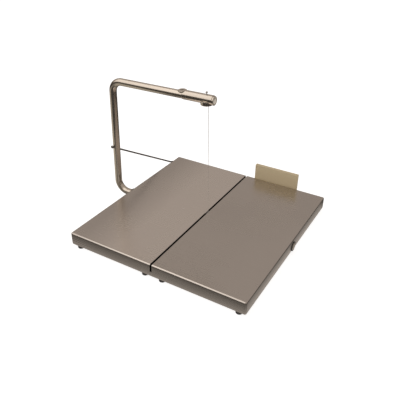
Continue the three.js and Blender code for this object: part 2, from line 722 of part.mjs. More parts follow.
add(arm, "grip_sleeve", gripSleeve(), polishedTube);
add(arm, "wire_outlet", wireOutlet(), polishedTube);
const pinEnd = TUBE_RADIUS - 0.4;
const guidePin = rod("y", GUIDE_PIN_RADIUS, -pinEnd, pinEnd, [guidePinX, 0, 0], SMALL_ROUND);
add(arm, "guide_pin", guidePin, plainSteel);
add(arm, "lock_screw", lockScrew(), plainSteel);
add(arm, "tension_wheel", tensionWheel(), polishedTube);
add(
  arm, "winding_spindle",
  rod("z", SPINDLE_RADIUS, 1 - tubeBore, wheelUnderside + WHEEL_THICKNESS - GAP, [wheelX, 0, 0], SMALL_ROUND),
  plainSteel,
);
add(arm, "arm_end_cap", turned("x", endPlug(ARM_PAST_WIRE, sleeveRadius - GAP)), polishedTube);
add(bow, "shaft_end_plug", turned("x", endPlug(shaftEndX, TUBE_RADIUS)), polishedTube);

// ---------------------------------------------------------------- stop rod

const legGrip = TUBE_RADIUS / Math.cos(Math.asin(Math.abs(rodWay.z))) + 1.2;
const straightRod = rod("z", ROD_RADIUS, -ROD_PAST_LEG, rodLength, [0, 0, 0], SMALL_ROUND);
add(bow, "stop_rod", onRod(straightRod), plainSteel);
const nutFrom = -legGrip - 2 - ROD_NUT_LENGTH;
add(
  bow, "stop_rod_nut",
  onRod(nut("z", ROD_NUT_RADIUS, ROD_RADIUS + GAP, nutFrom, nutFrom + ROD_NUT_LENGTH, [0, 0, 0])), plainSteel,
);
const tipInside = ROD_RADIUS + GAP;
const tipProfile = [
  [tipInside, rodLength - TIP_LENGTH], [TIP_RADIUS, rodLength - TIP_LENGTH], [TIP_RADIUS, rodLength + 1.5],
  [TIP_RADIUS - 1, rodLength + 2.5], [0, rodLength + 2.5], [0, rodLength + GAP], [tipInside, rodLength + GAP],
];
add(bow, "stop_rod_tip", onRod(turned("z", tipProfile, [0, 0, 0], 16)), blackRubber);

// The pad lies where the tip comes down when the bow is swung back as far as it goes.
const tipAtStop = rodTip.clone().applyAxisAngle(new THREE.Vector3(1, 0, 0), BOW_LEAN - BACK_SWING);
const padTop = tipAtStop.z - PIVOT_DROP - TIP_RADIUS - 2 * GAP;
const padY = tipAtStop.y + PIVOT_Y;
const padX = rodTip.x;
const padHalf = STOP_PAD_SIZE / 2;
const padBottom = padTop - STOP_PAD_THICKNESS;
const shelfTop = padBottom - GAP;
const shelfBottom = shelfTop - STOP_LUG_SHEET;
const lugFace = left - GAP;
add(
  base, "stop_pad",
  box(padX - padHalf, padX + padHalf, padY - padHalf, padY + padHalf, padBottom, padTop), blackRubber,
);
add(
  base, "stop_lug",
  join(
    box(padX - padHalf, lugFace, padY - padHalf, padY + padHalf, shelfBottom, shelfTop),
    box(lugFace - STOP_LUG_SHEET, lugFace, padY - padHalf, padY + padHalf, shelfBottom, -STOP_LUG_FROM_TOP),
  ),
  plainSteel,
);

// ---------------------------------------------------------------- origin

part.updateMatrixWorld(true);
const bounds = new THREE.Box3().setFromObject(part, true);
const middle = bounds.getCenter(new THREE.Vector3());
part.position.set(-middle.x, -middle.y, -bounds.min.z);

export default part;
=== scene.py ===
# %% [markdown]
# # A cheese wire cutter
# A flat base of folded stainless steel has a slot from front to back. A bow of bent tube swings over it: its lower
# leg is the pivot shaft under the plate, and a wire stretched from the end of its arm down to that shaft closes the
# C. Pulled forward, the wire sweeps through the cheese and comes to lie in the slot.
#
# The CAD model is loaded first and stays as it is. Each cell below builds a finer piece over it, or gives a CAD
# piece its finish. All lengths are in metres, in the CAD model's own frame.

# %% Load the frame
import json
import math

import bmesh
import bpy
from mathutils import Matrix, Vector


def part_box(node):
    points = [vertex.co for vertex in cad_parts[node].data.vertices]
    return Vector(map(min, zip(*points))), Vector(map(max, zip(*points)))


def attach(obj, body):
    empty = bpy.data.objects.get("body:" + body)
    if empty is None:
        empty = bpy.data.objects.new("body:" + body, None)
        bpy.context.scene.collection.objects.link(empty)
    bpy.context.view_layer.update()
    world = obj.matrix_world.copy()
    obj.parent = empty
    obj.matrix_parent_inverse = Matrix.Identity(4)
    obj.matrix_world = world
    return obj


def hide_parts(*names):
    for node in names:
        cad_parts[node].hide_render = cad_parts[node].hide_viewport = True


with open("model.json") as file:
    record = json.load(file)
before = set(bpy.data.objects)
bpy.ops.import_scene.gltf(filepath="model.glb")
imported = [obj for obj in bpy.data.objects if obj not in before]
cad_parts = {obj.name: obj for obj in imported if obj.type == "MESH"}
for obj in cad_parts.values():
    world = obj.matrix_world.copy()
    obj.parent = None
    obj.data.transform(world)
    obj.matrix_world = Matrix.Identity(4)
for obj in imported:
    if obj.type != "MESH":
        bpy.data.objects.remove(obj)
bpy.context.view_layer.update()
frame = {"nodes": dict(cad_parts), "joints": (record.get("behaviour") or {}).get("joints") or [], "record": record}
MM = 0.001
base_low, base_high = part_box("base_shell")
joints = {joint["name"]: joint for joint in frame["joints"]}

# %% [markdown]
# ## Camera
# The camera stands to the right of the front and looks down at about thirty degrees, so that the plate reads as a
# plate and the bow stands clear of it. Its place is given from the point where the wire crosses the pivot.

# %% Camera
CAMERA_PLACE = Vector((0.44752, -0.81032, 0.6134))
AZIMUTH, ELEVATION, ROLL = (math.radians(a) for a in (30.06, 31.48, 0.835))
LENS = 44.6

wire_foot = Vector(joints["bow_swing"]["pos_m"])
camera_data = bpy.data.cameras.new("camera")
camera_data.lens = LENS
camera = bpy.data.objects.new("camera", camera_data)
bpy.context.scene.collection.objects.link(camera)
turn = (
    Matrix.Rotation(AZIMUTH, 4, "Z")
    @ Matrix.Rotation(math.pi / 2 - ELEVATION, 4, "X")
    @ Matrix.Rotation(ROLL, 4, "Z")
)
camera.matrix_world = Matrix.Translation(wire_foot + CAMERA_PLACE) @ turn
bpy.context.scene.camera = camera
print("camera at", [round(v, 3) for v in camera.matrix_world.translation])

# %% [markdown]
# ## Floor and light
# Polished steel has hardly any colour of its own: it shows what is around it. So the studio matters more than the
# metal. One large softbox stands in front and to the left, and its image is the bright line along the tube and
# along the folds. The walls are a warm mid grey, which is what the plate mirrors. Everything low is dark, which
# draws the tube's lower edge. The floor looks white to the camera, but what the steel sees of it is a dark floor
# with a pale sheet just round the base, like the grey cards that are laid beside shiny goods in a studio. Behind
# the object the camera itself sees plain white.

# %% Softbox and walls
FLOOR_SIZE = 14.0
WALL_STOPS = [
    (0.0, (0.05, 0.042, 0.034)),
    (0.50, (0.06, 0.050, 0.040)),
    (0.58, (0.20, 0.175, 0.150)),
    (0.64, (0.43, 0.378, 0.342)),
    (0.86, (0.45, 0.398, 0.362)),
    (1.0, (0.55, 0.500, 0.450)),
]
middle = (base_low + base_high) / 2


def feed(tree, socket, value):
    """Gives an input a plain value, or links the output that is to feed it."""
    if isinstance(value, bpy.types.NodeSocket):
        tree.links.new(value, socket)
    else:
        socket.default_value = value


def node(tree, kind, **inputs):
    """A shader node of this kind, with a value or a feeding output on the inputs that are named."""
    made = tree.nodes.new("ShaderNode" + kind)
    for key, value in inputs.items():
        feed(tree, made.inputs[key.replace("_", " ")], value)
    return made


def maths(tree, operation, *sides, kind="Math"):
    """A math node of this operation, with its sides in order: values, or outputs that feed them."""
    made = node(tree, kind)
    made.operation = operation
    for socket, side in zip(made.inputs, sides):
        feed(tree, socket, side)
    return made.outputs["Value" if kind == "Math" or operation == "DISTANCE" else "Vector"]


def mixed(tree, factor, a, b, kind="RGBA"):
    """What lies between a and b by this factor, as an output."""
    made = node(tree, "Mix")
    made.data_type = kind
    for name, value in (("Factor", factor), ("A", a), ("B", b)):
        feed(tree, made.inputs[name], value)
    return made.outputs["Result"]


def link(tree, *pairs):
    """Links the output to the input in each pair."""
    for source, target in pairs:
        tree.links.new(source, target)


def colour_stops(ramp, stops):
    """Sets a colour ramp's stops from (place, colour) pairs."""
    elements = ramp.color_ramp.elements
    while len(elements) > 1:
        elements.remove(elements[-1])
    elements[0].position, elements[0].color = stops[0][0], (*stops[0][1], 1)
    for place, colour in stops[1:]:
        elements.new(place).color = (*colour, 1)


world = bpy.data.worlds.new("studio")
bpy.context.scene.world = world
world.use_nodes = True
sky = world.node_tree
sky.nodes.clear()
direction = node(sky, "TexCoord").outputs["Generated"]
height = node(sky, "SeparateXYZ", Vector=direction).outputs["Z"]
walls = node(sky, "ValToRGB", Fac=node(sky, "MapRange", Value=height, From_Min=-1.0).outputs[0])
colour_stops(walls, WALL_STOPS)
background = node(sky, "Background", Color=walls.outputs["Color"])
clear = node(sky, "Background", Color=(1, 1, 1, 1))
shown = node(sky, "MixShader", Fac=node(sky, "LightPath").outputs["Is Camera Ray"])
link(sky, (background.outputs[0], shown.inputs[1]), (clear.outputs[0], shown.inputs[2]))
node(sky, "OutputWorld", Surface=shown.outputs[0])


def soft_lamp(name, direction, distance, size, radiance, colour=(1, 1, 1)):
    """A square lamp in this direction from the middle of the base, as bright as this to whoever looks at it."""
    data = bpy.data.lights.new(name, "AREA")
    data.shape, data.size, data.color = "SQUARE", size, colour
    data.energy = radiance * math.pi * size * size
    lamp = bpy.data.objects.new(name, data)
    bpy.context.scene.collection.objects.link(lamp)
    way = Vector(direction).normalized()
    lamp.matrix_world = (
        Matrix.Translation(middle + way * distance) @ (-way).to_track_quat("-Z", "Y").to_matrix().to_4x4()
    )


soft_lamp("softbox", (-0.43, -0.47, 0.78), 2.5, 3.4, 0.68, (1.0, 0.965, 0.925))

# %% [markdown]
# The floor's pale sheet is worked out from the distance to the base's outline: the larger of the distances past its
# sides and past its ends. More pale cards lie beside the base: two on the left, which brighten the bow's leg, and a
# small one behind on the right, which the cap in the arm's end mirrors. Light Path tells a ray that left the
# camera from one that came off the steel. Well in under the base the floor is left in the base's own shade, so that
# it doesn't shine up through the slot.

# %% Floor
DARK_FLOOR = (0.04, 0.034, 0.028)
PALE_STOPS = [
    (0.0, (0.48, 0.44, 0.405)), (0.35, (0.20, 0.182, 0.163)), (0.65, DARK_FLOOR), (1.0, DARK_FLOOR),
]
PALE_REACH = 0.07
CARDS = [
    ((-0.56, -0.05, 0), 0.24, 0.34, (0.46, 0.42, 0.355)), ((-0.90, -0.20, 0), 0.34, 0.52, (0.46, 0.42, 0.355)),
    ((0.41, 0.72, 0), 0.16, 0.24, (0.75, 0.72, 0.68)),
]
SHADE_INSET = 0.03
FLOOR_LIGHT = 0.80

floor_mesh = bpy.data.meshes.new("floor")
s = FLOOR_SIZE / 2
floor_mesh.from_pydata([(-s, -s, 0), (s, -s, 0), (s, s, 0), (-s, s, 0)], [], [(0, 1, 2, 3)])
floor = bpy.data.objects.new("floor", floor_mesh)
bpy.context.scene.collection.objects.link(floor)
floor_material = bpy.data.materials.new("pale_floor")
floor_material.use_nodes = True
tree = floor_material.node_tree
tree.nodes.clear()


def past(axis, place):
    """How far a point lies past the base's outline along one axis."""
    centred = maths(tree, "SUBTRACT", place.outputs["XYZ"[axis]], middle[axis])
    return maths(tree, "SUBTRACT", maths(tree, "ABSOLUTE", centred), (base_high[axis] - base_low[axis]) / 2)


where = node(tree, "TexCoord").outputs["Object"]
split = node(tree, "SeparateXYZ", Vector=where)
farther = maths(tree, "MAXIMUM", past(0, split), past(1, split))
reach = node(tree, "MapRange", Value=farther, From_Max=PALE_REACH)
sheet_glow = node(tree, "ValToRGB", Fac=reach.outputs[0])
colour_stops(sheet_glow, PALE_STOPS)
pale_light = sheet_glow.outputs["Color"]
for place, full, gone, colour in CARDS:
    card_at = Vector((wire_foot.x, wire_foot.y, 0)) + Vector(place)
    away = maths(tree, "DISTANCE", where, card_at, kind="VectorMath")
    fade = node(tree, "MapRange", Value=away, From_Min=gone, From_Max=full)
    pale_light = mixed(tree, fade.outputs[0], pale_light, (*colour, 1))
glow = node(tree, "Emission", Color=pale_light)
lit = maths(tree, "MULTIPLY", maths(tree, "GREATER_THAN", farther, -SHADE_INSET), FLOOR_LIGHT)
white = node(tree, "Emission", Strength=lit)
pale = node(tree, "BsdfDiffuse", Color=(0.60, 0.61, 0.63, 1))
seen = node(tree, "AddShader")
mix = node(tree, "MixShader", Fac=node(tree, "LightPath").outputs["Is Glossy Ray"])
link(
    tree, (white.outputs[0], seen.inputs[0]), (pale.outputs[0], seen.inputs[1]),
    (seen.outputs[0], mix.inputs[1]), (glow.outputs[0], mix.inputs[2]),
)
node(tree, "OutputMaterial", Surface=mix.outputs[0])
floor_mesh.materials.append(floor_material)
bpy.context.scene.view_settings.view_transform = "Standard"

# %% [markdown]
# ## Shared effects
# Three effects come back in nearly every finish, so each is built once as a node group. Grain is noise pulled out
# long in one direction, the marks of a belt or of a lathe. Clouding is slow noise, for the handling marks and the
# uneven tone of worked metal. Edge polish finds convex edges, where hands and cloths rub a surface bright.

# %% Shader node groups


def shader_group(name, inputs, outputs):
    """An empty group with its sockets: inputs are (name, value), outputs are (name, kind)."""
    group = bpy.data.node_groups.new(name, "ShaderNodeTree")
    for label, value in inputs:
        socket = group.interface.new_socket(label, in_out="INPUT", socket_type="NodeSocketFloat")
        socket.default_value = value
    for label, kind in outputs:
        group.interface.new_socket(label, in_out="OUTPUT", socket_type="NodeSocket" + kind)
    return group, group.nodes.new("NodeGroupInput"), group.nodes.new("NodeGroupOutput")


def grain_group():
    group, ins, outs = shader_group(
        "grain", [("Along X", 8), ("Along Y", 900), ("Along Z", 900)], [("Mask", "Float")]
    )
    place = node(group, "TexCoord").outputs["Object"]
    pull = node(group, "CombineXYZ", **{axis: ins.outputs["Along " + axis] for axis in "XYZ"})
    stretch = maths(group, "MULTIPLY", place, pull.outputs[0], kind="VectorMath")
    noise = node(group, "TexNoise", Vector=stretch, Scale=1.0, Detail=3.0, Roughness=0.6)
    link(group, (noise.outputs["Fac"], outs.inputs["Mask"]))
    return group


def clouding_group():
    group, ins, outs = shader_group("clouding", [("Scale", 12)], [("Mask", "Float")])
    place = node(group, "TexCoord").outputs["Object"]
    noise = node(group, "TexNoise", Vector=place, Scale=ins.outputs["Scale"], Detail=4.0, Roughness=0.55)
    spread = node(group, "MapRange", Value=noise.outputs["Fac"], From_Min=0.3, From_Max=0.7)
    link(group, (spread.outputs[0], outs.inputs["Mask"]))
    return group


def edge_group():
    group, ins, outs = shader_group("edge_polish", [("Start", 0.52), ("End", 0.6)], [("Mask", "Float")])
    shape = node(group, "NewGeometry").outputs["Pointiness"]
    spread = node(group, "MapRange", Value=shape, From_Min=ins.outputs["Start"], From_Max=ins.outputs["End"])
    link(group, (spread.outputs[0], outs.inputs["Mask"]))
    return group


GRAIN, CLOUDING, EDGE = grain_group(), clouding_group(), edge_group()
print("shader groups:", [g.name for g in (GRAIN, CLOUDING, EDGE)])

# %% [markdown]
# ## Finishes
# Every metal here is the same recipe with other numbers: a colour that clouds a little, a roughness that follows
# the grain, and a shallow bump. Sheet has its grain from left to right, turned pieces have it round their axis,
# and the drawn tube is smoother than both. Rubber and plastic are the same recipe without the metal. What nobody
# polishes stays dull: the troughs, and the part of the shaft that lies under the plate. Both are also given a dark
# colour there, which is painted shade, since they lie in the plate's shadow.

# %% Materials


def effect(tree, group, **inputs):
    """A shared effect's mask, placed in a material with its own values."""
    made = node(tree, "Group")
    made.node_tree = group
    for key, value in inputs.items():
        made.inputs[key.replace("_", " ")].default_value = value
    return made.outputs["Mask"]


def finish(name, colour, dark, rough, rough_spread, metallic, grain, bump, cloud_scale=12, edge_light=0.0):
    """A material. grain gives the noise's scale along X, Y and Z, and bump its height in metres."""
    material = bpy.data.materials.new(name)
    material.use_nodes = True
    tree = material.node_tree
    shader = tree.nodes["Principled BSDF"]
    lines = effect(tree, GRAIN, Along_X=grain[0], Along_Y=grain[1], Along_Z=grain[2])
    cloud = effect(tree, CLOUDING, Scale=cloud_scale)
    blend = maths(tree, "MULTIPLY_ADD", cloud, 0.5, maths(tree, "MULTIPLY", lines, 0.5))
    tone = mixed(tree, blend, (*dark, 1), (*colour, 1))
    rubbed = (*[min(1.0, c * (1 + edge_light)) for c in colour], 1)
    gloss = node(tree, "MapRange", Value=blend, To_Min=rough - rough_spread, To_Max=rough + rough_spread)
    relief = node(tree, "Bump", Strength=1.0, Distance=bump, Height=lines)
    feed(tree, shader.inputs["Metallic"], metallic)
    feed(tree, shader.inputs["Base Color"], mixed(tree, effect(tree, EDGE), tone, rubbed))
    feed(tree, shader.inputs["Roughness"], gloss.outputs[0])
    feed(tree, shader.inputs["Normal"], relief.outputs["Normal"])
    return material


FINE = (600, 600, 600)
sheet_steel = finish(
    "sheet_steel", (0.60, 0.556, 0.515), (0.53, 0.49, 0.452), 0.27, 0.05, 1, (6, 700, 700), 4e-6, 7, 0.25
)
tube_steel = finish(
    "tube_steel", (0.72, 0.655, 0.575), (0.64, 0.58, 0.505), 0.19, 0.04, 1, (500, 500, 500), 1e-6, 15, 0.1
)
plain_steel = finish("plain_steel", (0.55, 0.52, 0.49), (0.44, 0.42, 0.40), 0.36, 0.08, 1, (300, 900, 900), 6e-6)
screw_steel = finish("screw_steel", (0.62, 0.61, 0.60), (0.50, 0.49, 0.48), 0.28, 0.08, 1, FINE, 4e-6, 60, 0.2)
wire_steel = finish("wire_steel", (0.80, 0.80, 0.80), (0.70, 0.70, 0.70), 0.22, 0.05, 1, (900, 900, 30), 1e-6, 40)
rod_steel = finish("rod_steel", (0.22, 0.21, 0.20), (0.13, 0.125, 0.12), 0.34, 0.08, 1, FINE, 4e-6, 50, 0.3)
black_rubber = finish(
    "black_rubber", (0.020, 0.018, 0.016), (0.011, 0.010, 0.009), 0.68, 0.1, 0, FINE, 3e-5, 60, 0.8
)
bush_plastic = finish("bush_plastic", (0.06, 0.055, 0.05), (0.035, 0.03, 0.03), 0.42, 0.08, 0, FINE, 1e-5, 60, 0.4)
amber_acrylic = finish(
    "amber_acrylic", (0.72, 0.62, 0.42), (0.64, 0.55, 0.36), 0.10, 0.03, 0, (3, 3, 3), 1e-6, 9, 0.0
)
amber_acrylic.node_tree.nodes["Principled BSDF"].inputs["IOR"].default_value = 1.49
# The troughs' dark colour is painted shade: they lie in shadow under the slot.
trough_steel = finish(
    "trough_steel", (0.10, 0.095, 0.09), (0.06, 0.056, 0.052), 0.5, 0.08, 1, (900, 300, 900), 6e-6
)


def dull_with_painted_shade_inside(material, low, high, colour, rough=0.5):
    """Makes a polished metal dull between two x places under the plate, where no one polishes it, and paints it
    dark there as the plate's shade.
    """
    tree = material.node_tree
    shader = tree.nodes["Principled BSDF"]
    place = node(tree, "SeparateXYZ", Vector=node(tree, "TexCoord").outputs["Object"]).outputs
    inside = maths(tree, "LESS_THAN", place["Z"], high.z)
    for operation, limit in (("GREATER_THAN", low.x), ("LESS_THAN", high.x)):
        inside = maths(tree, "MULTIPLY", inside, maths(tree, operation, place["X"], limit))
    for socket, value, kind in (("Base Color", (*colour, 1), "RGBA"), ("Roughness", rough, "FLOAT")):
        target = shader.inputs[socket]
        feed(tree, target, mixed(tree, inside, target.links[0].from_socket, value, kind))


# The dark colour here is painted shade: the plate shadows this part of the shaft.
dull_with_painted_shade_inside(tube_steel, base_low, base_high, (0.09, 0.085, 0.08))
print("materials:", len(bpy.data.materials))

SLOT_MATERIALS = {
    "sheet": sheet_steel, "tube": tube_steel, "plain_steel": plain_steel, "fixings": screw_steel,
    "wire": wire_steel, "rod": rod_steel, "bush": bush_plastic, "rubber": black_rubber, "panel": amber_acrylic,
}
for part in frame["record"]["subparts"]:
    mesh = frame["nodes"][part["node"]].data
    mesh.materials.clear()
    mesh.materials.append(SLOT_MATERIALS[part["material_slot"]])

# %% [markdown]
# ## Making and finishing a mesh
# Three helpers carry the rest of the file. `piece` turns a bmesh into a finished object: it rounds the edges where
# asked, keeps the big faces flat with weighted normals, parents it to an empty for the CAD body it rides on, gives
# it the material of its slot and hides the CAD nodes it stands for. `turned` makes what a lathe would make, from a
# profile. `cut` takes one solid away from another, as a drill or a mill would.

# %% Mesh helpers
ROUND = 64


def evaluated(obj):
    """The object's mesh with its modifiers applied, in place of its own."""
    depsgraph = bpy.context.evaluated_depsgraph_get()
    mesh = bpy.data.meshes.new_from_object(obj.evaluated_get(depsgraph))
    obj.modifiers.clear()
    old = obj.data
    obj.data = mesh
    bpy.data.meshes.remove(old)
    mesh.name = obj.name
    return obj


def raw(name, shape):
    """A bare object from a bmesh."""
    mesh = bpy.data.meshes.new(name)
    bmesh.ops.recalc_face_normals(shape, faces=shape.faces)
    shape.to_mesh(mesh)
    shape.free()
    obj = bpy.data.objects.new(name, mesh)
    bpy.context.scene.collection.objects.link(obj)
    return obj


def cut(obj, *tools, operation="DIFFERENCE"):
    """Takes each tool, a bmesh, out of the object."""
    for shape in tools:
        tool = raw("tool", shape)
        modifier = obj.modifiers.new("cut", "BOOLEAN")
        modifier.operation, modifier.solver, modifier.object = operation, "EXACT", tool
        evaluated(obj)
        mesh = tool.data
        bpy.data.objects.remove(tool)
        bpy.data.meshes.remove(mesh)
    return obj


def piece(obj, body, slot, *nodes, bevel=0.0, steps=2, angle=35, material=None):
    """Rounds its edges, gives it its finish and hands it to a CAD body, in place of its CAD nodes."""
    mesh = obj.data
    mesh.shade_smooth()
    if bevel:
        rounding = obj.modifiers.new("rounding", "BEVEL")
        rounding.width, rounding.segments = bevel, steps
        rounding.limit_method, rounding.angle_limit = "ANGLE", math.radians(angle)
        rounding.use_clamp_overlap = True
        evaluated(obj)
    obj.data.set_sharp_from_angle(angle=math.radians(angle))
    weighted = obj.modifiers.new("weighted", "WEIGHTED_NORMAL")
    weighted.keep_sharp = True
    evaluated(obj)
    obj.data.materials.clear()
    obj.data.materials.append(material or SLOT_MATERIALS[slot])
    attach(obj, body)
    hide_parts(*nodes)
    print(f"{obj.name}: {len(obj.data.polygons)} faces")
    return obj


def turned(profile, along="Z", at=(0, 0, 0), sides=ROUND, phase=0.0):
    """A bmesh turned from a closed profile of (radius, distance along the axis) points."""
    shape = bmesh.new()
    rings = []
    for radius, distance in profile:
        if radius < 1e-9:
            rings.append([shape.verts.new((0, 0, distance))])
            continue
        rings.append([
            shape.verts.new((
                radius * math.cos(phase + 2 * math.pi * i / sides),
                radius * math.sin(phase + 2 * math.pi * i / sides), distance,
            ))
            for i in range(sides)
        ])
    for a, b in zip(rings, rings[1:] + rings[:1]):
        if len(a) == len(b) == 1:
            continue
        for i in range(sides):
            j = (i + 1) % sides
            corners = [a[i % len(a)], a[j % len(a)], b[j % len(b)], b[i % len(b)]]
            shape.faces.new(list(dict.fromkeys(corners)))
    turn = {"X": Matrix.Rotation(math.pi / 2, 4, "Y"), "Y": Matrix.Rotation(-math.pi / 2, 4, "X")}
    if along in turn:
        shape.transform(turn[along])
    shape.transform(Matrix.Translation(at))
    return shape


def block(x0, x1, y0, y1, z0, z1):
    shape = bmesh.new()
    bmesh.ops.create_cube(shape, size=1)
    shape.transform(
        Matrix.Translation(((x0 + x1) / 2, (y0 + y1) / 2, (z0 + z1) / 2))
        @ Matrix.Diagonal((x1 - x0, y1 - y0, z1 - z0, 1))
    )
    return shape


def bar(radius, start, end, along="Z", at=(0, 0, 0), sides=ROUND):
    """A plain round bar, mostly a drill."""
    return turned([(0, start), (radius, start), (radius, end), (0, end)], along, at, sides)


def quarter(steps):
    """A quarter turn in steps: what the sine and what the cosine of each angle fall short of one."""
    angles = [math.pi / 2 * i / steps for i in range(steps + 1)]
    return [(1 - math.sin(a), 1 - math.cos(a)) for a in angles]


def rounded_end(radius, start, end, rounding, steps=4):
    """The profile of a solid bar whose two ends are rounded over."""
    first = [(radius - rounding * s, start + rounding * c) for s, c in quarter(steps)]
    last = [(radius - rounding * c, end - rounding * s) for s, c in quarter(steps)]
    return [(0, start), *first, *last, (0, end)]


def softened(name, node_name, body, slot, bevel=0.3 * MM, steps=2, material=None):
    """A copy of a CAD node whose loose triangles are merged into faces and whose edges are rounded."""
    shape = bmesh.new()
    shape.from_mesh(frame["nodes"][node_name].data)
    bmesh.ops.remove_doubles(shape, verts=shape.verts, dist=1e-6)
    bmesh.ops.dissolve_limit(shape, angle_limit=math.radians(1), verts=shape.verts, edges=shape.edges)
    obj = raw(name, shape)
    return piece(obj, body, slot, node_name, bevel=bevel, steps=steps, material=material)


# %% [markdown]
# ## The base
# The plate, its four walls and the flanges that turn in under them are one sheet of 1.5 mm steel. A sheet can't be
# folded sharp, so every fold is an arc. It could be a box with a bevel, but then the wall thickness and the arc
# inside the fold would be missing. Here it is built from rounded outlines, one for each height in the section, and
# joined ring by ring: outside from the flange up to the plate, and back down on the inside. The slot, the notches
# for the shaft and the screw holes are cut afterwards, as in real work, and the slot's edges are eased.

# %% Folded base sheet
SHEET = 1.5 * MM
FOLD = 3 * MM
LOWER_FOLD = 1.6 * MM
CORNER = 4 * MM
RETURN = 26 * MM
CROWN = 0.2 * MM
WALL_STEPS = 8
SLOT_X = 0
SLOT_WIDTH = 4.4 * MM
NOTCH = 17 * MM
FOLD_STEPS = 8
CORNER_STEPS = 6

centre_x = (base_low.x + base_high.x) / 2
slot_x = centre_x + SLOT_X
plate = base_high.z
under = base_low.z
pivot = Vector((0, wire_foot.y, wire_foot.z))


def crown(z):
    """How far the wall is drawn in at this height: a folded wall springs a little, so it is never quite flat."""
    half_height = (plate - under) / 2
    return CROWN * min(1.0, abs(z - under - half_height) / half_height) ** 2


def outline(shape, inset, z):
    """A ring of vertices round the base, this far inside its outer faces."""
    inset += crown(z)
    radius = max(CORNER - inset, 0.25 * MM)
    x0, x1, y0, y1 = base_low.x + inset, base_high.x - inset, base_low.y + inset, base_high.y - inset
    ring = []
    for cx, cy, first in (
        (x1 - radius, y0 + radius, -90), (x1 - radius, y1 - radius, 0),
        (x0 + radius, y1 - radius, 90), (x0 + radius, y0 + radius, 180),
    ):
        for i in range(CORNER_STEPS + 1):
            a = math.radians(first + 90 * i / CORNER_STEPS)
            ring.append(shape.verts.new((cx + radius * math.cos(a), cy + radius * math.sin(a), z)))
    return ring


def section():
    """The sheet's section as (inset, height) pairs: outside from flange to plate, then back inside."""
    low, high = under + LOWER_FOLD, plate - FOLD
    wall_heights = [low + (high - low) * i / WALL_STEPS for i in range(1, WALL_STEPS)]
    arc = quarter(FOLD_STEPS)
    outside = [(RETURN, under)]
    outside += [(LOWER_FOLD * s, under + LOWER_FOLD * c) for s, c in arc]
    outside += [(0, z) for z in wall_heights]
    outside += [(FOLD * c, plate - FOLD * s) for s, c in arc]
    outside.append((FOLD + 1 * MM, plate))
    inside = [(FOLD + 1 * MM, plate - SHEET)]
    inner = FOLD - SHEET
    inside += [(SHEET + inner * s, plate - SHEET - inner * c) for s, c in arc]
    inside += [(SHEET, z) for z in reversed(wall_heights)]
    inner = LOWER_FOLD - SHEET
    inside += [(SHEET + inner * c, under + SHEET + inner * s) for s, c in arc]
    inside.append((RETURN, under + SHEET))
    return outside, inside


def base_sheet():
    shape = bmesh.new()
    outside, inside = section()
    outer_rings = [outline(shape, *point) for point in outside]
    inner_rings = [outline(shape, *point) for point in inside]
    count = len(outer_rings[0])
    chain = [inner_rings[-1]] + outer_rings
    for rings in (chain, inner_rings):
        for a, b in zip(rings, rings[1:]):
            for i in range(count):
                j = (i + 1) % count
                shape.faces.new((a[i], a[j], b[j], b[i]))
    shape.faces.new(outer_rings[-1])
    shape.faces.new(inner_rings[0])
    return shape


def slot_rim(obj, ease):
    """Eases the edges of the slot on the plate's top, as a file does."""
    shape = bmesh.new()
    shape.from_mesh(obj.data)
    half = SLOT_WIDTH / 2
    rim = [
        e for e in shape.edges
        if all(abs(v.co.z - plate) < 1e-6 and abs(abs(v.co.x - slot_x) - half) < 1e-5 for v in e.verts)
    ]
    bmesh.ops.bevel(shape, geom=rim, offset=ease, segments=3, profile=0.5, affect="EDGES", clamp_overlap=True)
    shape.to_mesh(obj.data)
    shape.free()
    print("slot rim edges eased:", len(rim))


WALL_HOLE = 10.2 * MM
SCREW_HOLE = 2.3 * MM
RELIEF = 17 * MM
feet_nodes = [f"foot_{i}" for i in range(1, 9)]
feet_at = []
for name in feet_nodes:
    foot_low, foot_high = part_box(name)
    feet_at.append(Vector(((foot_low.x + foot_high.x) / 2, (foot_low.y + foot_high.y) / 2, under)))
panel_holes = []
for name in ("panel_screw_1", "panel_screw_2"):
    screw_low, screw_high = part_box(name)
    panel_holes.append(Vector(((screw_low.x + screw_high.x) / 2, base_high.y, (screw_low.z + screw_high.z) / 2)))

sheet = raw("base_sheet", base_sheet())
cut(
    sheet,
    block(slot_x - SLOT_WIDTH / 2, slot_x + SLOT_WIDTH / 2, base_low.y - 0.01, base_high.y + 0.01,
          plate - NOTCH, plate + 0.01),
    bar(WALL_HOLE, base_low.x - 0.01, base_high.x + 0.01, "X", pivot),
    block(base_low.x - 0.01, base_high.x + 0.01, pivot.y - WALL_HOLE, pivot.y + WALL_HOLE, under - 0.01, pivot.z),
    block(base_low.x + SHEET, base_high.x - SHEET, pivot.y - RELIEF, pivot.y + RELIEF,
          under - 0.01, under + SHEET + 0.001),
)
for place in feet_at:
    cut(sheet, bar(SCREW_HOLE, -0.001, SHEET + 0.001, "Z", place, 24))
for place in panel_holes:
    cut(sheet, bar(SCREW_HOLE, -SHEET - 0.001, 0.001, "Y", place, 24))
slot_rim(sheet, 0.35 * MM)
piece(sheet, "base", "sheet", "base_shell", angle=30)

# %% [markdown]
# ## Under the plate
# The trough, the tie bars, the brackets and the keepers are flat steel that was cut and folded. Their CAD shapes
# are right, so each is copied, its loose triangles are merged into faces, and its sharp edges are rounded a little,
# because nothing that is cut from sheet and handled keeps a razor edge.

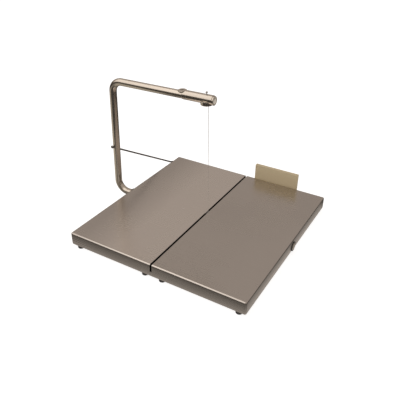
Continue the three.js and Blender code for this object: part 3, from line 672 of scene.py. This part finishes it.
# %% Flat steel pieces
# The troughs take the dark finish that paints the shade under the slot.
for node_name in ("drip_trough_front", "drip_trough_back"):
    softened(node_name + "_steel", node_name, "base", "plain_steel", bevel=0.25 * MM, material=trough_steel)
for node_name in (
    "tie_bar_front", "tie_bar_back", "shaft_bracket_left",
    "shaft_bracket_right", "bearing_keeper_left", "bearing_keeper_right", "stop_lug",
):
    softened(node_name + "_steel", node_name, "base", "plain_steel", bevel=0.25 * MM)

# %% [markdown]
# ## Pieces that repeat
# Eight feet and eight screws are the same piece set out at eight places. One Geometry Nodes tree does this for all
# of them: its own mesh is a cloud of points, one for each place, and its inputs are the piece to set out and its
# material. It ends in Realize Instances, because the finished model has to hold real faces.

# %% A tree that sets a piece out at points


def geometry_tree(name, sockets):
    """A Geometry Nodes tree with a geometry in and out, and these inputs: (name, kind)."""
    tree = bpy.data.node_groups.new(name, "GeometryNodeTree")
    tree.interface.new_socket("Geometry", in_out="INPUT", socket_type="NodeSocketGeometry")
    for label, kind in sockets:
        tree.interface.new_socket(label, in_out="INPUT", socket_type="NodeSocket" + kind)
    tree.interface.new_socket("Geometry", in_out="OUTPUT", socket_type="NodeSocketGeometry")
    return tree, tree.nodes.new("NodeGroupInput"), tree.nodes.new("NodeGroupOutput")


def run_tree(obj, tree, **values):
    """Runs a tree on an object with these inputs, and keeps the result as its plain mesh."""
    modifier = obj.modifiers.new(tree.name, "NODES")
    modifier.node_group = tree
    for socket in tree.interface.items_tree:
        key = socket.name.replace(" ", "_")
        if socket.in_out == "INPUT" and key in values:
            modifier[socket.identifier] = values[key]
    return evaluated(obj)


def geometry_nodes(tree, *kinds):
    return [tree.nodes.new("GeometryNode" + kind) for kind in kinds]


def end_tree(tree, ins, outs, made):
    """Ends a tree: real faces instead of instances, in the finish that was given."""
    real, paint = geometry_nodes(tree, "RealizeInstances", "SetMaterial")
    link(
        tree, (made, real.inputs[0]), (real.outputs[0], paint.inputs["Geometry"]),
        (ins.outputs["Finish"], paint.inputs["Material"]), (paint.outputs[0], outs.inputs[0]),
    )
    return tree


def set_out_tree():
    tree, ins, outs = geometry_tree("set_out", [("Piece", "Object"), ("Finish", "Material")])
    source, place = geometry_nodes(tree, "ObjectInfo", "InstanceOnPoints")
    link(
        tree, (ins.outputs["Piece"], source.inputs["Object"]), (ins.outputs["Geometry"], place.inputs["Points"]),
        (source.outputs["Geometry"], place.inputs["Instance"]),
    )
    return end_tree(tree, ins, outs, place.outputs[0])


SET_OUT = set_out_tree()


def set_out(name, shape, places, material):
    """One mesh with a copy of the shape at each place."""
    pattern = raw("pattern", shape)
    points = bpy.data.meshes.new(name)
    points.from_pydata([tuple(p) for p in places], [], [])
    obj = bpy.data.objects.new(name, points)
    bpy.context.scene.collection.objects.link(obj)
    run_tree(obj, SET_OUT, Piece=pattern, Finish=material)
    mesh = pattern.data
    bpy.data.objects.remove(pattern)
    bpy.data.meshes.remove(mesh)
    return obj


# %% [markdown]
# ## Feet
# Each foot is a moulded rubber bumper: slightly conical, rounded where it meets the table, with a screw down its
# middle whose head sits above the flange. The mould leaves a shallow ring in the face that stands on the table.

# %% Rubber feet and their screws
foot_profile = [
    (2.3 * MM, -5.3 * MM), (0, -5.3 * MM), (0, -7.4 * MM), (2.6 * MM, -7.4 * MM), (3.2 * MM, -8 * MM),
    (6.1 * MM, -8 * MM), (6.45 * MM, -7.85 * MM), (6.65 * MM, -7.45 * MM),
    (7.42 * MM, -1.2 * MM), (7.3 * MM, -0.6 * MM), (6.9 * MM, -0.3 * MM), (2.3 * MM, -0.3 * MM),
]
piece(
    set_out("rubber_feet", turned(foot_profile, sides=48), feet_at, black_rubber),
    "base", "rubber", *feet_nodes,
)


def pan_screw():
    """A pan-head screw, head up, with a cross recess."""
    head = [
        (0, -5 * MM), (1.4 * MM, -5 * MM), (2 * MM, -4.4 * MM), (2 * MM, 1.8 * MM), (4 * MM, 1.8 * MM),
        (4 * MM, 2.6 * MM), (3.6 * MM, 3.3 * MM), (2.6 * MM, 3.75 * MM), (0, 3.8 * MM),
    ]
    body = raw("screw", turned(head, sides=32))
    cut(
        body,
        block(-1.8 * MM, 1.8 * MM, -0.35 * MM, 0.35 * MM, 2.6 * MM, 5 * MM),
        block(-0.35 * MM, 0.35 * MM, -1.8 * MM, 1.8 * MM, 2.6 * MM, 5 * MM),
    )
    shape = bmesh.new()
    shape.from_mesh(body.data)
    bpy.data.objects.remove(body)
    return shape


piece(
    set_out("foot_screws", pan_screw(), feet_at, screw_steel),
    "base", "fixings", *[f"foot_screw_{i}" for i in range(1, 9)],
)

# %% [markdown]
# ## The bow
# The bow is one length of 16 mm tube, bent twice, and its lower end is the pivot shaft. A tube bender always gives
# the same bend radius, so four corner points and that radius describe it completely. That is a shape with a rule,
# and a Geometry Nodes tree sweeps it: corners to curve, rounded corners, a circle carried along. The wire is made
# by the same tree with a smaller circle. Solidify gives the tube its wall, and the holes are drilled last.

# %% Frames of the bow and of its arm
BOW_LEAN = math.radians(2)
ARM_RISE = math.radians(0.7)
LEG_TILT = math.radians(2.9)
BOW_HEIGHT = 276.3 * MM
LEG_FROM_BASE = 48.5 * MM
SHAFT_PAST_WALL = -1 * MM
ARM_PAST_WIRE = 11 * MM
TUBE = 8 * MM
WALL = 1.5 * MM
BEND = 26 * MM

half_width = (base_high.x - base_low.x) / 2
leg_foot_x = -half_width - LEG_FROM_BASE
leg_top_x = leg_foot_x + math.tan(LEG_TILT) * BOW_HEIGHT
shaft_end_x = half_width + SHAFT_PAST_WALL
arm_end_x = SLOT_X + ARM_PAST_WIRE * math.cos(ARM_RISE)


def arm_height(x):
    return BOW_HEIGHT + math.tan(ARM_RISE) * (x - leg_top_x)


bow_frame = Matrix.Translation((centre_x, pivot.y, pivot.z)) @ Matrix.Rotation(BOW_LEAN, 4, "X")
arm_frame = (
    bow_frame @ Matrix.Translation((SLOT_X, 0, arm_height(SLOT_X))) @ Matrix.Rotation(-ARM_RISE, 4, "Y")
)


def placed(shape, matrix):
    shape.transform(matrix)
    return shape


# %% A tree that sweeps a round section along corners


def sweep_tree():
    tree, ins, outs = geometry_tree(
        "sweep_round",
        [("Radius", "Float"), ("Bend Radius", "Float"), ("Bend Steps", "Int"), ("Sides", "Int"),
         ("Closed Ends", "Bool"), ("Finish", "Material")],
    )
    curve, bends, circle, sweep = geometry_nodes(
        tree, "MeshToCurve", "FilletCurve", "CurvePrimitiveCircle", "CurveToMesh"
    )
    bends.mode = "POLY"
    link(
        tree, (ins.outputs["Geometry"], curve.inputs["Mesh"]), (curve.outputs[0], bends.inputs["Curve"]),
        (ins.outputs["Bend Steps"], bends.inputs["Count"]), (ins.outputs["Bend Radius"], bends.inputs["Radius"]),
        (ins.outputs["Sides"], circle.inputs["Resolution"]), (ins.outputs["Radius"], circle.inputs["Radius"]),
        (bends.outputs[0], sweep.inputs["Curve"]), (circle.outputs[0], sweep.inputs["Profile Curve"]),
        (ins.outputs["Closed Ends"], sweep.inputs["Fill Caps"]),
    )
    return end_tree(tree, ins, outs, sweep.outputs[0])


SWEEP = sweep_tree()


def swept(name, corners, matrix, **sizes):
    """A round section carried along corner points that are given in the matrix's frame."""
    mesh = bpy.data.meshes.new(name)
    points = [tuple(matrix @ Vector(corner)) for corner in corners]
    mesh.from_pydata(points, [(i, i + 1) for i in range(len(points) - 1)], [])
    obj = bpy.data.objects.new(name, mesh)
    bpy.context.scene.collection.objects.link(obj)
    return run_tree(obj, SWEEP, **sizes)


# %% Bow tube
WHEEL = 9.2 * MM
WHEEL_X = -59.5 * MM
SEAT = TUBE - 1 * MM
LOCK_X = -4 * MM
PIN = 2 * MM
PIN_X = -2.7 * MM
SPINDLE = 3 * MM
NECK = 5.6 * MM
WIRE = 0.4 * MM
WIRE_HOLE = 0.9 * MM
LOCK_HOLE = 1.4 * MM
GAP = 0.3 * MM
ROD_HEIGHT = 112 * MM
rod_at_leg = Vector((leg_foot_x + math.tan(LEG_TILT) * ROD_HEIGHT, 0, ROD_HEIGHT))
rod_tip = Vector((-half_width - 10 * MM, base_high.y - 14 * MM - pivot.y, -3 * MM))
rod_way = (rod_tip - rod_at_leg).normalized()
rod_length = (rod_tip - rod_at_leg).length
rod_frame = (
    bow_frame @ Matrix.Translation(rod_at_leg)
    @ Vector((0, 0, 1)).rotation_difference(rod_way).to_matrix().to_4x4()
)

bow = swept(
    "bow", [
        (shaft_end_x, 0, 0), (leg_foot_x, 0, 0), (leg_top_x, 0, BOW_HEIGHT), (arm_end_x, 0, arm_height(arm_end_x)),
    ],
    bow_frame, Radius=TUBE, Bend_Radius=BEND, Bend_Steps=20, Sides=72, Closed_Ends=False, Finish=tube_steel,
)
wall = bow.modifiers.new("wall", "SOLIDIFY")
wall.thickness, wall.offset = WALL, -1
evaluated(bow)
cut(
    bow,
    placed(bar(WHEEL + GAP, SEAT, 0.03, at=(WHEEL_X, 0, 0)), arm_frame),
    placed(bar(SPINDLE + GAP, 0, 0.02, at=(WHEEL_X, 0, 0), sides=32), arm_frame),
    placed(bar(LOCK_HOLE, 0, 0.02, at=(LOCK_X, 0, 0), sides=24), arm_frame),
    placed(bar(NECK + GAP, -0.02, 0, at=(LOCK_X, 0, 0), sides=32), arm_frame),
    placed(bar(PIN + GAP, -0.02, 0.02, "Y", (PIN_X, 0, 0), 24), arm_frame),
    placed(bar(WIRE_HOLE, -0.02, 0.02, at=(SLOT_X, 0, 0), sides=20), bow_frame),
    placed(bar(SCREW_HOLE, -0.03, 0.03, sides=24), rod_frame),
)
piece(bow, "bow", "tube", "bow_tube", angle=40)

# %% [markdown]
# ## Bushes, collars and plugs
# The shaft turns in two plastic bushes, and two steel collars keep it from sliding. All are turned, so each is a
# profile: half of its section, with a small chamfer at every outer corner. The plug in the shaft's end and the one
# in the arm's end have a groove round a slightly domed middle, the shape of a plug that is tapped in with a mallet.

# %% Bushes and collars
BORE = TUBE + 0.1 * MM


def bush_profile(flange_wall, flange_from, flange_to, inside_to):
    flange, body, ease = BORE + flange_wall, BORE + 1.8 * MM, 0.45 * MM
    profile = [(BORE, flange_from), (flange - ease, flange_from), (flange, flange_from + ease)]
    profile += [(flange, flange_to - ease), (flange - ease, flange_to), (body, flange_to)]
    profile += [(body, inside_to - ease), (body - ease, inside_to), (BORE, inside_to)]
    return profile


def mirrored(profile):
    return [(radius, -distance) for radius, distance in profile]


shaft_at = (centre_x, pivot.y, pivot.z)
left_bush = bush_profile(
    2.9 * MM, -half_width - GAP - 8 * MM, -half_width - GAP, -half_width + 8 * MM
)
right_bush = mirrored(bush_profile(
    2.5 * MM, -half_width - GAP - 1.4 * MM, -half_width - GAP, -half_width + 8 * MM
))
piece(raw("left_bush", turned(left_bush, "X", shaft_at)), "base", "bush", "bearing_bush_left")
piece(raw("right_bush", turned(right_bush, "X", shaft_at)), "base", "bush", "bearing_bush_right")

COLLAR = TUBE + 4.7 * MM
for side, sign in (("left", 1), ("right", -1)):
    near = -half_width + 8 * MM + GAP
    far = near + 9 * MM
    inner, ease = TUBE + GAP, 0.5 * MM
    profile = [
        (inner, near), (COLLAR - ease, near), (COLLAR, near + ease), (COLLAR, far - ease), (COLLAR - ease, far),
        (inner, far),
    ]
    middle_x = sign * (near + far) / 2
    profile = profile if sign > 0 else mirrored(profile)
    collar = raw("collar", turned(profile, "X"))
    cut(collar, bar(SCREW_HOLE, 0, COLLAR + 0.001, "Y", (middle_x, 0, 0), 24))
    collar.data.transform(bow_frame)
    collar.name = f"{side}_collar"
    piece(collar, "bow", "plain_steel", f"shaft_collar_{side}")
    grub = raw("grub", turned(rounded_end(2 * MM, inner, COLLAR - 0.7 * MM, 0.3 * MM), "Y", (middle_x, 0, 0), 32))
    socket = bar(1.15 * MM, COLLAR - 2.7 * MM, COLLAR + 0.001, "Y", (middle_x, 0, 0), 6)
    cut(grub, socket)
    grub.data.transform(bow_frame)
    grub.name = f"{side}_grub_screw"
    piece(grub, "bow", "fixings", f"collar_grub_screw_{side}")

# %% End plugs


def plug_profile(start, flange):
    """A plug from inside the tube to a grooved face with a domed middle."""
    stem, seat = TUBE - WALL - GAP, start + GAP
    face = seat + 2.8 * MM
    groove_out = flange - 1.5 * MM
    groove_in = groove_out - 1.1 * MM
    points = [(0, start - 6 * MM), (stem - 0.6 * MM, start - 6 * MM), (stem, start - 5.4 * MM), (stem, seat)]
    points.append((flange, seat))
    points += [(flange - 1 * MM * c, face - 1 * MM * s) for s, c in quarter(4)]
    points += [(groove_out, face - 0.05 * MM), (groove_out - 0.25 * MM, face - 0.7 * MM)]
    points += [(groove_in, face - 0.8 * MM), (groove_in - 0.3 * MM, face - 0.2 * MM)]
    points += [(groove_in * 0.55, face - 0.04 * MM), (0, face)]
    return points


SLEEVE = TUBE + GAP + 1.3 * MM
piece(
    raw("arm_cap", placed(turned(plug_profile(ARM_PAST_WIRE, SLEEVE - GAP), "X"), arm_frame)),
    "bow", "tube", "arm_end_cap", angle=50,
)
piece(
    raw("shaft_plug", placed(turned(plug_profile(shaft_end_x, TUBE), "X"), bow_frame)),
    "bow", "tube", "shaft_end_plug", angle=50,
)

# %% [markdown]
# ## On the arm
# A polished sleeve is pushed over the end of the arm. Its bore is off centre, so that its wall is thicker on top
# where the lock screw needs thread. Under it sits the outlet that the wire comes out of: a turned boss whose top
# is milled to sit against the sleeve. At the sleeve's inner end a knurled wheel winds the wire. Each starts as a
# turned blank and is then milled and drilled, in that order, as it would be in the workshop.

# %% Grip sleeve
RAISE = 0.8 * MM
SLEEVE_START = ARM_PAST_WIRE - 67.5 * MM
sleeve_profile = rounded_end(SLEEVE, SLEEVE_START, ARM_PAST_WIRE, 0.7 * MM)
sleeve = raw("sleeve", turned(sleeve_profile, "X", (0, 0, RAISE), 96))
cut(
    sleeve,
    bar(TUBE + GAP, SLEEVE_START - 0.01, ARM_PAST_WIRE + 0.01, "X", sides=72),
    bar(WHEEL + GAP, SEAT, 0.03, at=(WHEEL_X, 0, 0)),
    bar(LOCK_HOLE, 0, 0.03, at=(LOCK_X, 0, 0), sides=24),
    bar(NECK + GAP, -0.03, 0, at=(LOCK_X, 0, 0), sides=32),
)
sleeve.data.transform(arm_frame)
piece(sleeve, "bow", "tube", "grip_sleeve", angle=40)

# %% Wire outlet
OUTLET = SLEEVE + GAP + 2.6 * MM
OUTLET_EDGE = 1.3 * MM
outlet_low = RAISE - SLEEVE - 1.6 * MM
outlet_profile = [(0, -2 * MM), (OUTLET - 0.3 * MM, -2 * MM), (OUTLET, -2.3 * MM)]
outlet_profile += [(OUTLET - OUTLET_EDGE * c, outlet_low + OUTLET_EDGE * s) for s, c in quarter(5)]
outlet_profile += [(2.2 * MM, outlet_low), (1.5 * MM, outlet_low + 0.5 * MM), (0, outlet_low + 0.5 * MM)]
outlet = raw("outlet", turned(outlet_profile, at=(LOCK_X, 0, 0), sides=80))
cut(outlet, bar(SLEEVE + GAP, -0.05, 0.05, "X", (0, 0, RAISE), 96))
cut(
    outlet,
    bar(NECK, outlet_low + 0.7 * MM, 1 * MM - TUBE + WALL, at=(LOCK_X, 0, 0), sides=48),
    operation="UNION",
)
cut(outlet, bar(WIRE_HOLE, -0.02, 0, sides=20))
outlet.data.transform(arm_frame)
piece(outlet, "bow", "tube", "wire_outlet", angle=40)

# %% [markdown]
# ## Wheel, spindle and lock screw
# The wheel's rim is knurled so that a greasy finger can turn it. Knurling repeats round a circle, so Geometry Nodes
# sets one small ridge out at every step of the rim, with the count and the radius as inputs. The wheel is a turned
# disc with a dished top and a pin hole, and the ridges are joined to it. The slot for a coin is in the spindle.

# %% A tree that sets ridges round a rim


def ridge_tree():
    tree, ins, outs = geometry_tree(
        "ridges_round_a_rim",
        [("Count", "Int"), ("Rim Radius", "Float"), ("Width", "Float"), ("Height", "Float"), ("Depth", "Float"),
         ("Finish", "Material")],
    )
    rim, cube, place, where = geometry_nodes(tree, "MeshCircle", "MeshCube", "InstanceOnPoints", "InputPosition")
    size = node(tree, "CombineXYZ")
    align = tree.nodes.new("FunctionNodeAlignRotationToVector")
    align.axis = "X"
    eighth = tree.nodes.new("FunctionNodeRotateRotation")
    eighth.rotation_space = "LOCAL"
    eighth.inputs[1].default_value = (0, 0, math.pi / 4)
    link(
        tree, (ins.outputs["Count"], rim.inputs["Vertices"]), (ins.outputs["Rim Radius"], rim.inputs["Radius"]),
        (ins.outputs["Depth"], size.inputs["X"]), (ins.outputs["Width"], size.inputs["Y"]),
        (ins.outputs["Height"], size.inputs["Z"]), (size.outputs[0], cube.inputs["Size"]),
        (rim.outputs[0], place.inputs["Points"]), (cube.outputs["Mesh"], place.inputs["Instance"]),
        (where.outputs[0], align.inputs["Vector"]), (align.outputs[0], eighth.inputs[0]),
        (eighth.outputs[0], place.inputs["Rotation"]),
    )
    return end_tree(tree, ins, outs, place.outputs[0])


RIDGES = ridge_tree()


def knurled(name, disc, count, radius, width, height, at, material):
    """A turned disc with ridges round its rim, joined to one mesh, around the Z axis at a height."""
    ridges = bpy.data.objects.new("ridges", bpy.data.meshes.new("ridges"))
    bpy.context.scene.collection.objects.link(ridges)
    run_tree(
        ridges, RIDGES, Count=count, Rim_Radius=radius, Width=width, Depth=width, Height=height, Finish=material,
    )
    shape = bmesh.new()
    shape.from_mesh(ridges.data)
    shape.transform(Matrix.Translation((0, 0, at)))
    obj = raw(name, disc)
    cut(obj, shape, operation="UNION")
    bpy.data.objects.remove(ridges)
    return obj


# %% Tension wheel
wheel_low = SEAT + GAP
wheel_top = wheel_low + 2.5 * MM
BODY = WHEEL - 0.35 * MM
wheel_profile = [
    (SPINDLE + GAP, wheel_low), (BODY - 0.6 * MM, wheel_low), (BODY, wheel_low + 0.5 * MM),
    (BODY, wheel_top - 0.6 * MM), (BODY - 0.25 * MM, wheel_top - 0.2 * MM), (BODY - 0.8 * MM, wheel_top),
    (BODY - 2.2 * MM, wheel_top), (BODY - 2.8 * MM, wheel_top - 0.5 * MM),
    (SPINDLE + 2.2 * MM, wheel_top - 0.5 * MM), (SPINDLE + 1.6 * MM, wheel_top), (SPINDLE + GAP, wheel_top),
]
wheel = knurled(
    "wheel", turned(wheel_profile), 48, BODY - 0.1 * MM, 0.62 * MM, 1.5 * MM,
    (wheel_low + wheel_top) / 2 - 0.05 * MM, tube_steel,
)
cut(wheel, bar(1.3 * MM, 0, 0.02, at=(0, WHEEL - 3.4 * MM, 0), sides=20))
wheel.data.transform(arm_frame @ Matrix.Translation((WHEEL_X, 0, 0)))
wheel.name = "winding_wheel"
piece(wheel, "winder", "tube", "tension_wheel", angle=40)

# %% Slotted spindle
spindle = raw("spindle", turned(rounded_end(SPINDLE, 1 * MM - TUBE + WALL, wheel_top - GAP, 0.35 * MM), sides=48))
cut(
    spindle,
    block(-0.5 * MM, 0.5 * MM, -SPINDLE, SPINDLE, wheel_top - 1.3 * MM, wheel_top + 1 * MM),
)
spindle.data.transform(arm_frame @ Matrix.Translation((WHEEL_X, 0, 0)))
spindle.name = "slotted_spindle"
piece(spindle, "winder", "plain_steel", "winding_spindle")

# %% Lock screw with its ball
BALL = 2.2 * MM
SHANK = 1.1 * MM
ball_at = RAISE + SLEEVE + 4 * MM
tip = PIN + 2 * GAP + 2 * WIRE
lock_profile = [(0, tip), (SHANK - 0.4 * MM, tip), (SHANK, tip + 0.4 * MM)]
pitch = 0.5 * MM
turns = int((SLEEVE + RAISE + 1.5 * MM - tip) / pitch) - 1
for i in range(turns):
    at = tip + 0.5 * MM + i * pitch
    lock_profile += [(SHANK, at), (SHANK - 0.16 * MM, at + pitch / 2)]
neck = math.asin(SHANK * 0.9 / BALL)
lock_profile.append((SHANK * 0.9, ball_at - BALL * math.cos(neck) - 0.6 * MM))
for i in range(13):
    a = neck + (math.pi - neck) * i / 12
    lock_profile.append((BALL * math.sin(a), ball_at - BALL * math.cos(a)))
lock_profile[-1] = (0, ball_at + BALL)
piece(
    raw("ball_screw", placed(turned(lock_profile, at=(LOCK_X, 0, 0), sides=32), arm_frame)),
    "lock", "fixings", "lock_screw", angle=60,
)

# %% Guide pin
guide = raw("wire_guide", placed(
    turned(rounded_end(PIN, 0.4 * MM - TUBE, TUBE - 0.4 * MM, 0.3 * MM), "Y", (PIN_X, 0, 0), 32), arm_frame,
))
piece(guide, "bow", "plain_steel", "guide_pin")

# %% [markdown]
# ## The wire
# The wire is fixed by a crimp under the shaft, goes straight up through the shaft and the outlet, bends round the
# guide pin inside the arm, and runs along the arm to the spindle. Its route is three corners and one bend, so the
# same tree that made the bow makes the wire.

# %% Cutting wire and its crimp
WIRE_BEND = PIN + GAP + WIRE
corner = bow_frame.inverted() @ arm_frame @ Vector((0, 0, WIRE_BEND))
corner.x = SLOT_X
wire_end = bow_frame.inverted() @ arm_frame @ Vector((WHEEL_X + SPINDLE + GAP, 0, WIRE_BEND))
wire = swept(
    "taut_wire", [(SLOT_X, 0, -TUBE - GAP), corner, wire_end], bow_frame,
    Radius=WIRE, Bend_Radius=WIRE_BEND, Bend_Steps=8, Sides=16, Closed_Ends=True, Finish=wire_steel,
)
piece(wire, "bow", "wire", "cutting_wire")

crimp_top = -TUBE - 2 * GAP
crimp_profile = rounded_end(2.4 * MM, crimp_top - 4 * MM, crimp_top, 0.5 * MM)
crimp = raw("crimp", turned(crimp_profile, at=(SLOT_X, 0, 0), sides=40))
cut(
    crimp,
    *[block(SLOT_X + s * 2.9 * MM - 1 * MM, SLOT_X + s * 2.9 * MM + 1 * MM, -0.01, 0.01,
            crimp_top - 3 * MM, crimp_top - 1 * MM) for s in (-1, 1)],
)
crimp.data.transform(bow_frame)
crimp.name = "pressed_crimp"
piece(crimp, "bow", "plain_steel", "wire_crimp", bevel=0.12 * MM)

# %% [markdown]
# ## The stop rod
# A thin rod is screwed through the leg and locked by one nut. At the other end a rubber tip comes down on a pad
# beside the base, and that is how far back the bow can fall. The thread is turned as rings rather than as a true
# helix: at this size nobody can tell them apart, and rings are a plain profile. It is cut only where the nut
# travels. A nut is a six-sided bar, turned at both ends so that its corners are chamfered.

# %% Rod, nut and tip
ROD = 2 * MM
PITCH = 0.7 * MM


def thread(radius, start, end, pitch, depth):
    """Profile points along a thread that is made of rings."""
    points = []
    for i in range(int((end - start) / pitch)):
        at = start + i * pitch
        points += [(radius, at + 0.15 * pitch), (radius, at + 0.35 * pitch), (radius - depth, at + 0.75 * pitch)]
    return points


rod_profile = [(0, -16 * MM), (ROD - 0.5 * MM, -16 * MM)]
rod_profile += thread(ROD, -15.5 * MM, 10 * MM, PITCH, 0.3 * MM)
rod_profile += [(ROD - 0.1 * MM, 10.5 * MM), (ROD - 0.1 * MM, rod_length - 0.3 * MM)]
rod_profile += [(ROD - 0.4 * MM, rod_length), (0, rod_length)]
piece(raw("threaded_rod", placed(turned(rod_profile, sides=32), rod_frame)), "bow", "rod", "stop_rod", angle=60)


def hexagon_nut(axis, radius, bore, start, end, at=(0, 0, 0)):
    """A six-sided nut with chamfered corners and a countersunk bore."""
    blank = raw("nut", bar(radius, start, end, axis, at, 6))
    chamfer = 0.28 * radius
    cone = turned(
        [(0, start - 0.001), (radius - chamfer, start - 1e-6), (radius * 1.01, start + chamfer * 0.55),
         (radius * 1.01, end - chamfer * 0.55), (radius - chamfer, end + 1e-6), (0, end + 0.001)],
        axis, at, 48,
    )
    cut(blank, cone, operation="INTERSECT")
    hole = turned(
        [(0, start - 0.001), (bore + 0.6 * MM, start - 0.001), (bore + 0.5 * MM, start), (bore, start + 0.5 * MM),
         (bore, end - 0.5 * MM), (bore + 0.5 * MM, end), (bore + 0.6 * MM, end + 0.001), (0, end + 0.001)],
        axis, at, 32,
    )
    cut(blank, hole)
    return blank


leg_grip = TUBE / math.cos(math.asin(abs(rod_way.z))) + 1.2 * MM
start = -leg_grip - 6 * MM
nut = hexagon_nut("Z", 3.4 * MM, ROD + GAP, start, start + 4 * MM)
nut.data.transform(rod_frame)
nut.name = "lock_nut"
piece(nut, "bow", "rod", "stop_rod_nut", angle=25)

tip_in = ROD + GAP
tip_start, tip_end = rod_length - 5 * MM, rod_length + 2.5 * MM
tip_profile = [
    (tip_in, tip_start), (3 * MM, tip_start), (3.5 * MM, tip_start + 0.5 * MM), (3.5 * MM, tip_start + 1.4 * MM),
    (3.2 * MM, tip_start + 1.8 * MM), (3.2 * MM, tip_start + 2.4 * MM), (3.5 * MM, tip_start + 2.8 * MM),
    (3.5 * MM, tip_end - 1.2 * MM), (3.1 * MM, tip_end - 0.4 * MM), (2.2 * MM, tip_end), (0, tip_end),
    (0, rod_length + GAP), (tip_in, rod_length + GAP),
]
piece(raw("rubber_tip", placed(turned(tip_profile, sides=40), rod_frame)), "bow", "rubber", "stop_rod_tip")
softened("rubber_pad", "stop_pad", "base", "rubber", bevel=0.4 * MM, steps=3)

# %% [markdown]
# ## The panel at the back
# A piece of amber acrylic, 8 mm thick, is screwed to the back wall, and the cheese is squared up against it. Sawn
# acrylic has its edges flame polished, which leaves them round and glossy. Two knurled screws hold it, so that it
# comes off for washing.

# %% Panel, thumb screws and nuts
panel_low, panel_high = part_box("back_panel")
panel = raw("amber_panel", block(panel_low.x, panel_high.x, panel_low.y, panel_high.y, panel_low.z, panel_high.z))
for place in panel_holes:
    cut(panel, bar(SCREW_HOLE, -0.001, 0.012, "Y", place, 32))
piece(panel, "base", "panel", "back_panel", bevel=0.7 * MM, steps=4)

screw_face = panel_high.y + GAP
for number, place in enumerate(panel_holes, start=1):
    head = rounded_end(4.7 * MM, 0, 3.5 * MM, 0.5 * MM)
    screw = knurled(
        "thumb", turned(head, sides=48), 30, 4.65 * MM, 0.48 * MM, 2.3 * MM, 1.75 * MM, tube_steel,
    )
    cut(screw, bar(PIN, -13.5 * MM, 0.5 * MM, sides=24), operation="UNION")
    lie_down = Matrix.Rotation(-math.pi / 2, 4, "X")
    screw.data.transform(Matrix.Translation((place.x, screw_face, place.z)) @ lie_down)
    screw.name = f"thumb_screw_{number}"
    piece(screw, "base", "tube", f"panel_screw_{number}", angle=40)
    face = base_high.y - SHEET - GAP
    nut = hexagon_nut("Y", 4 * MM, PIN + GAP, face - 3 * MM, face, (place.x, 0, place.z))
    nut.name = f"thumb_screw_nut_{number}"
    piece(nut, "base", "fixings", f"panel_nut_{number}", angle=25)
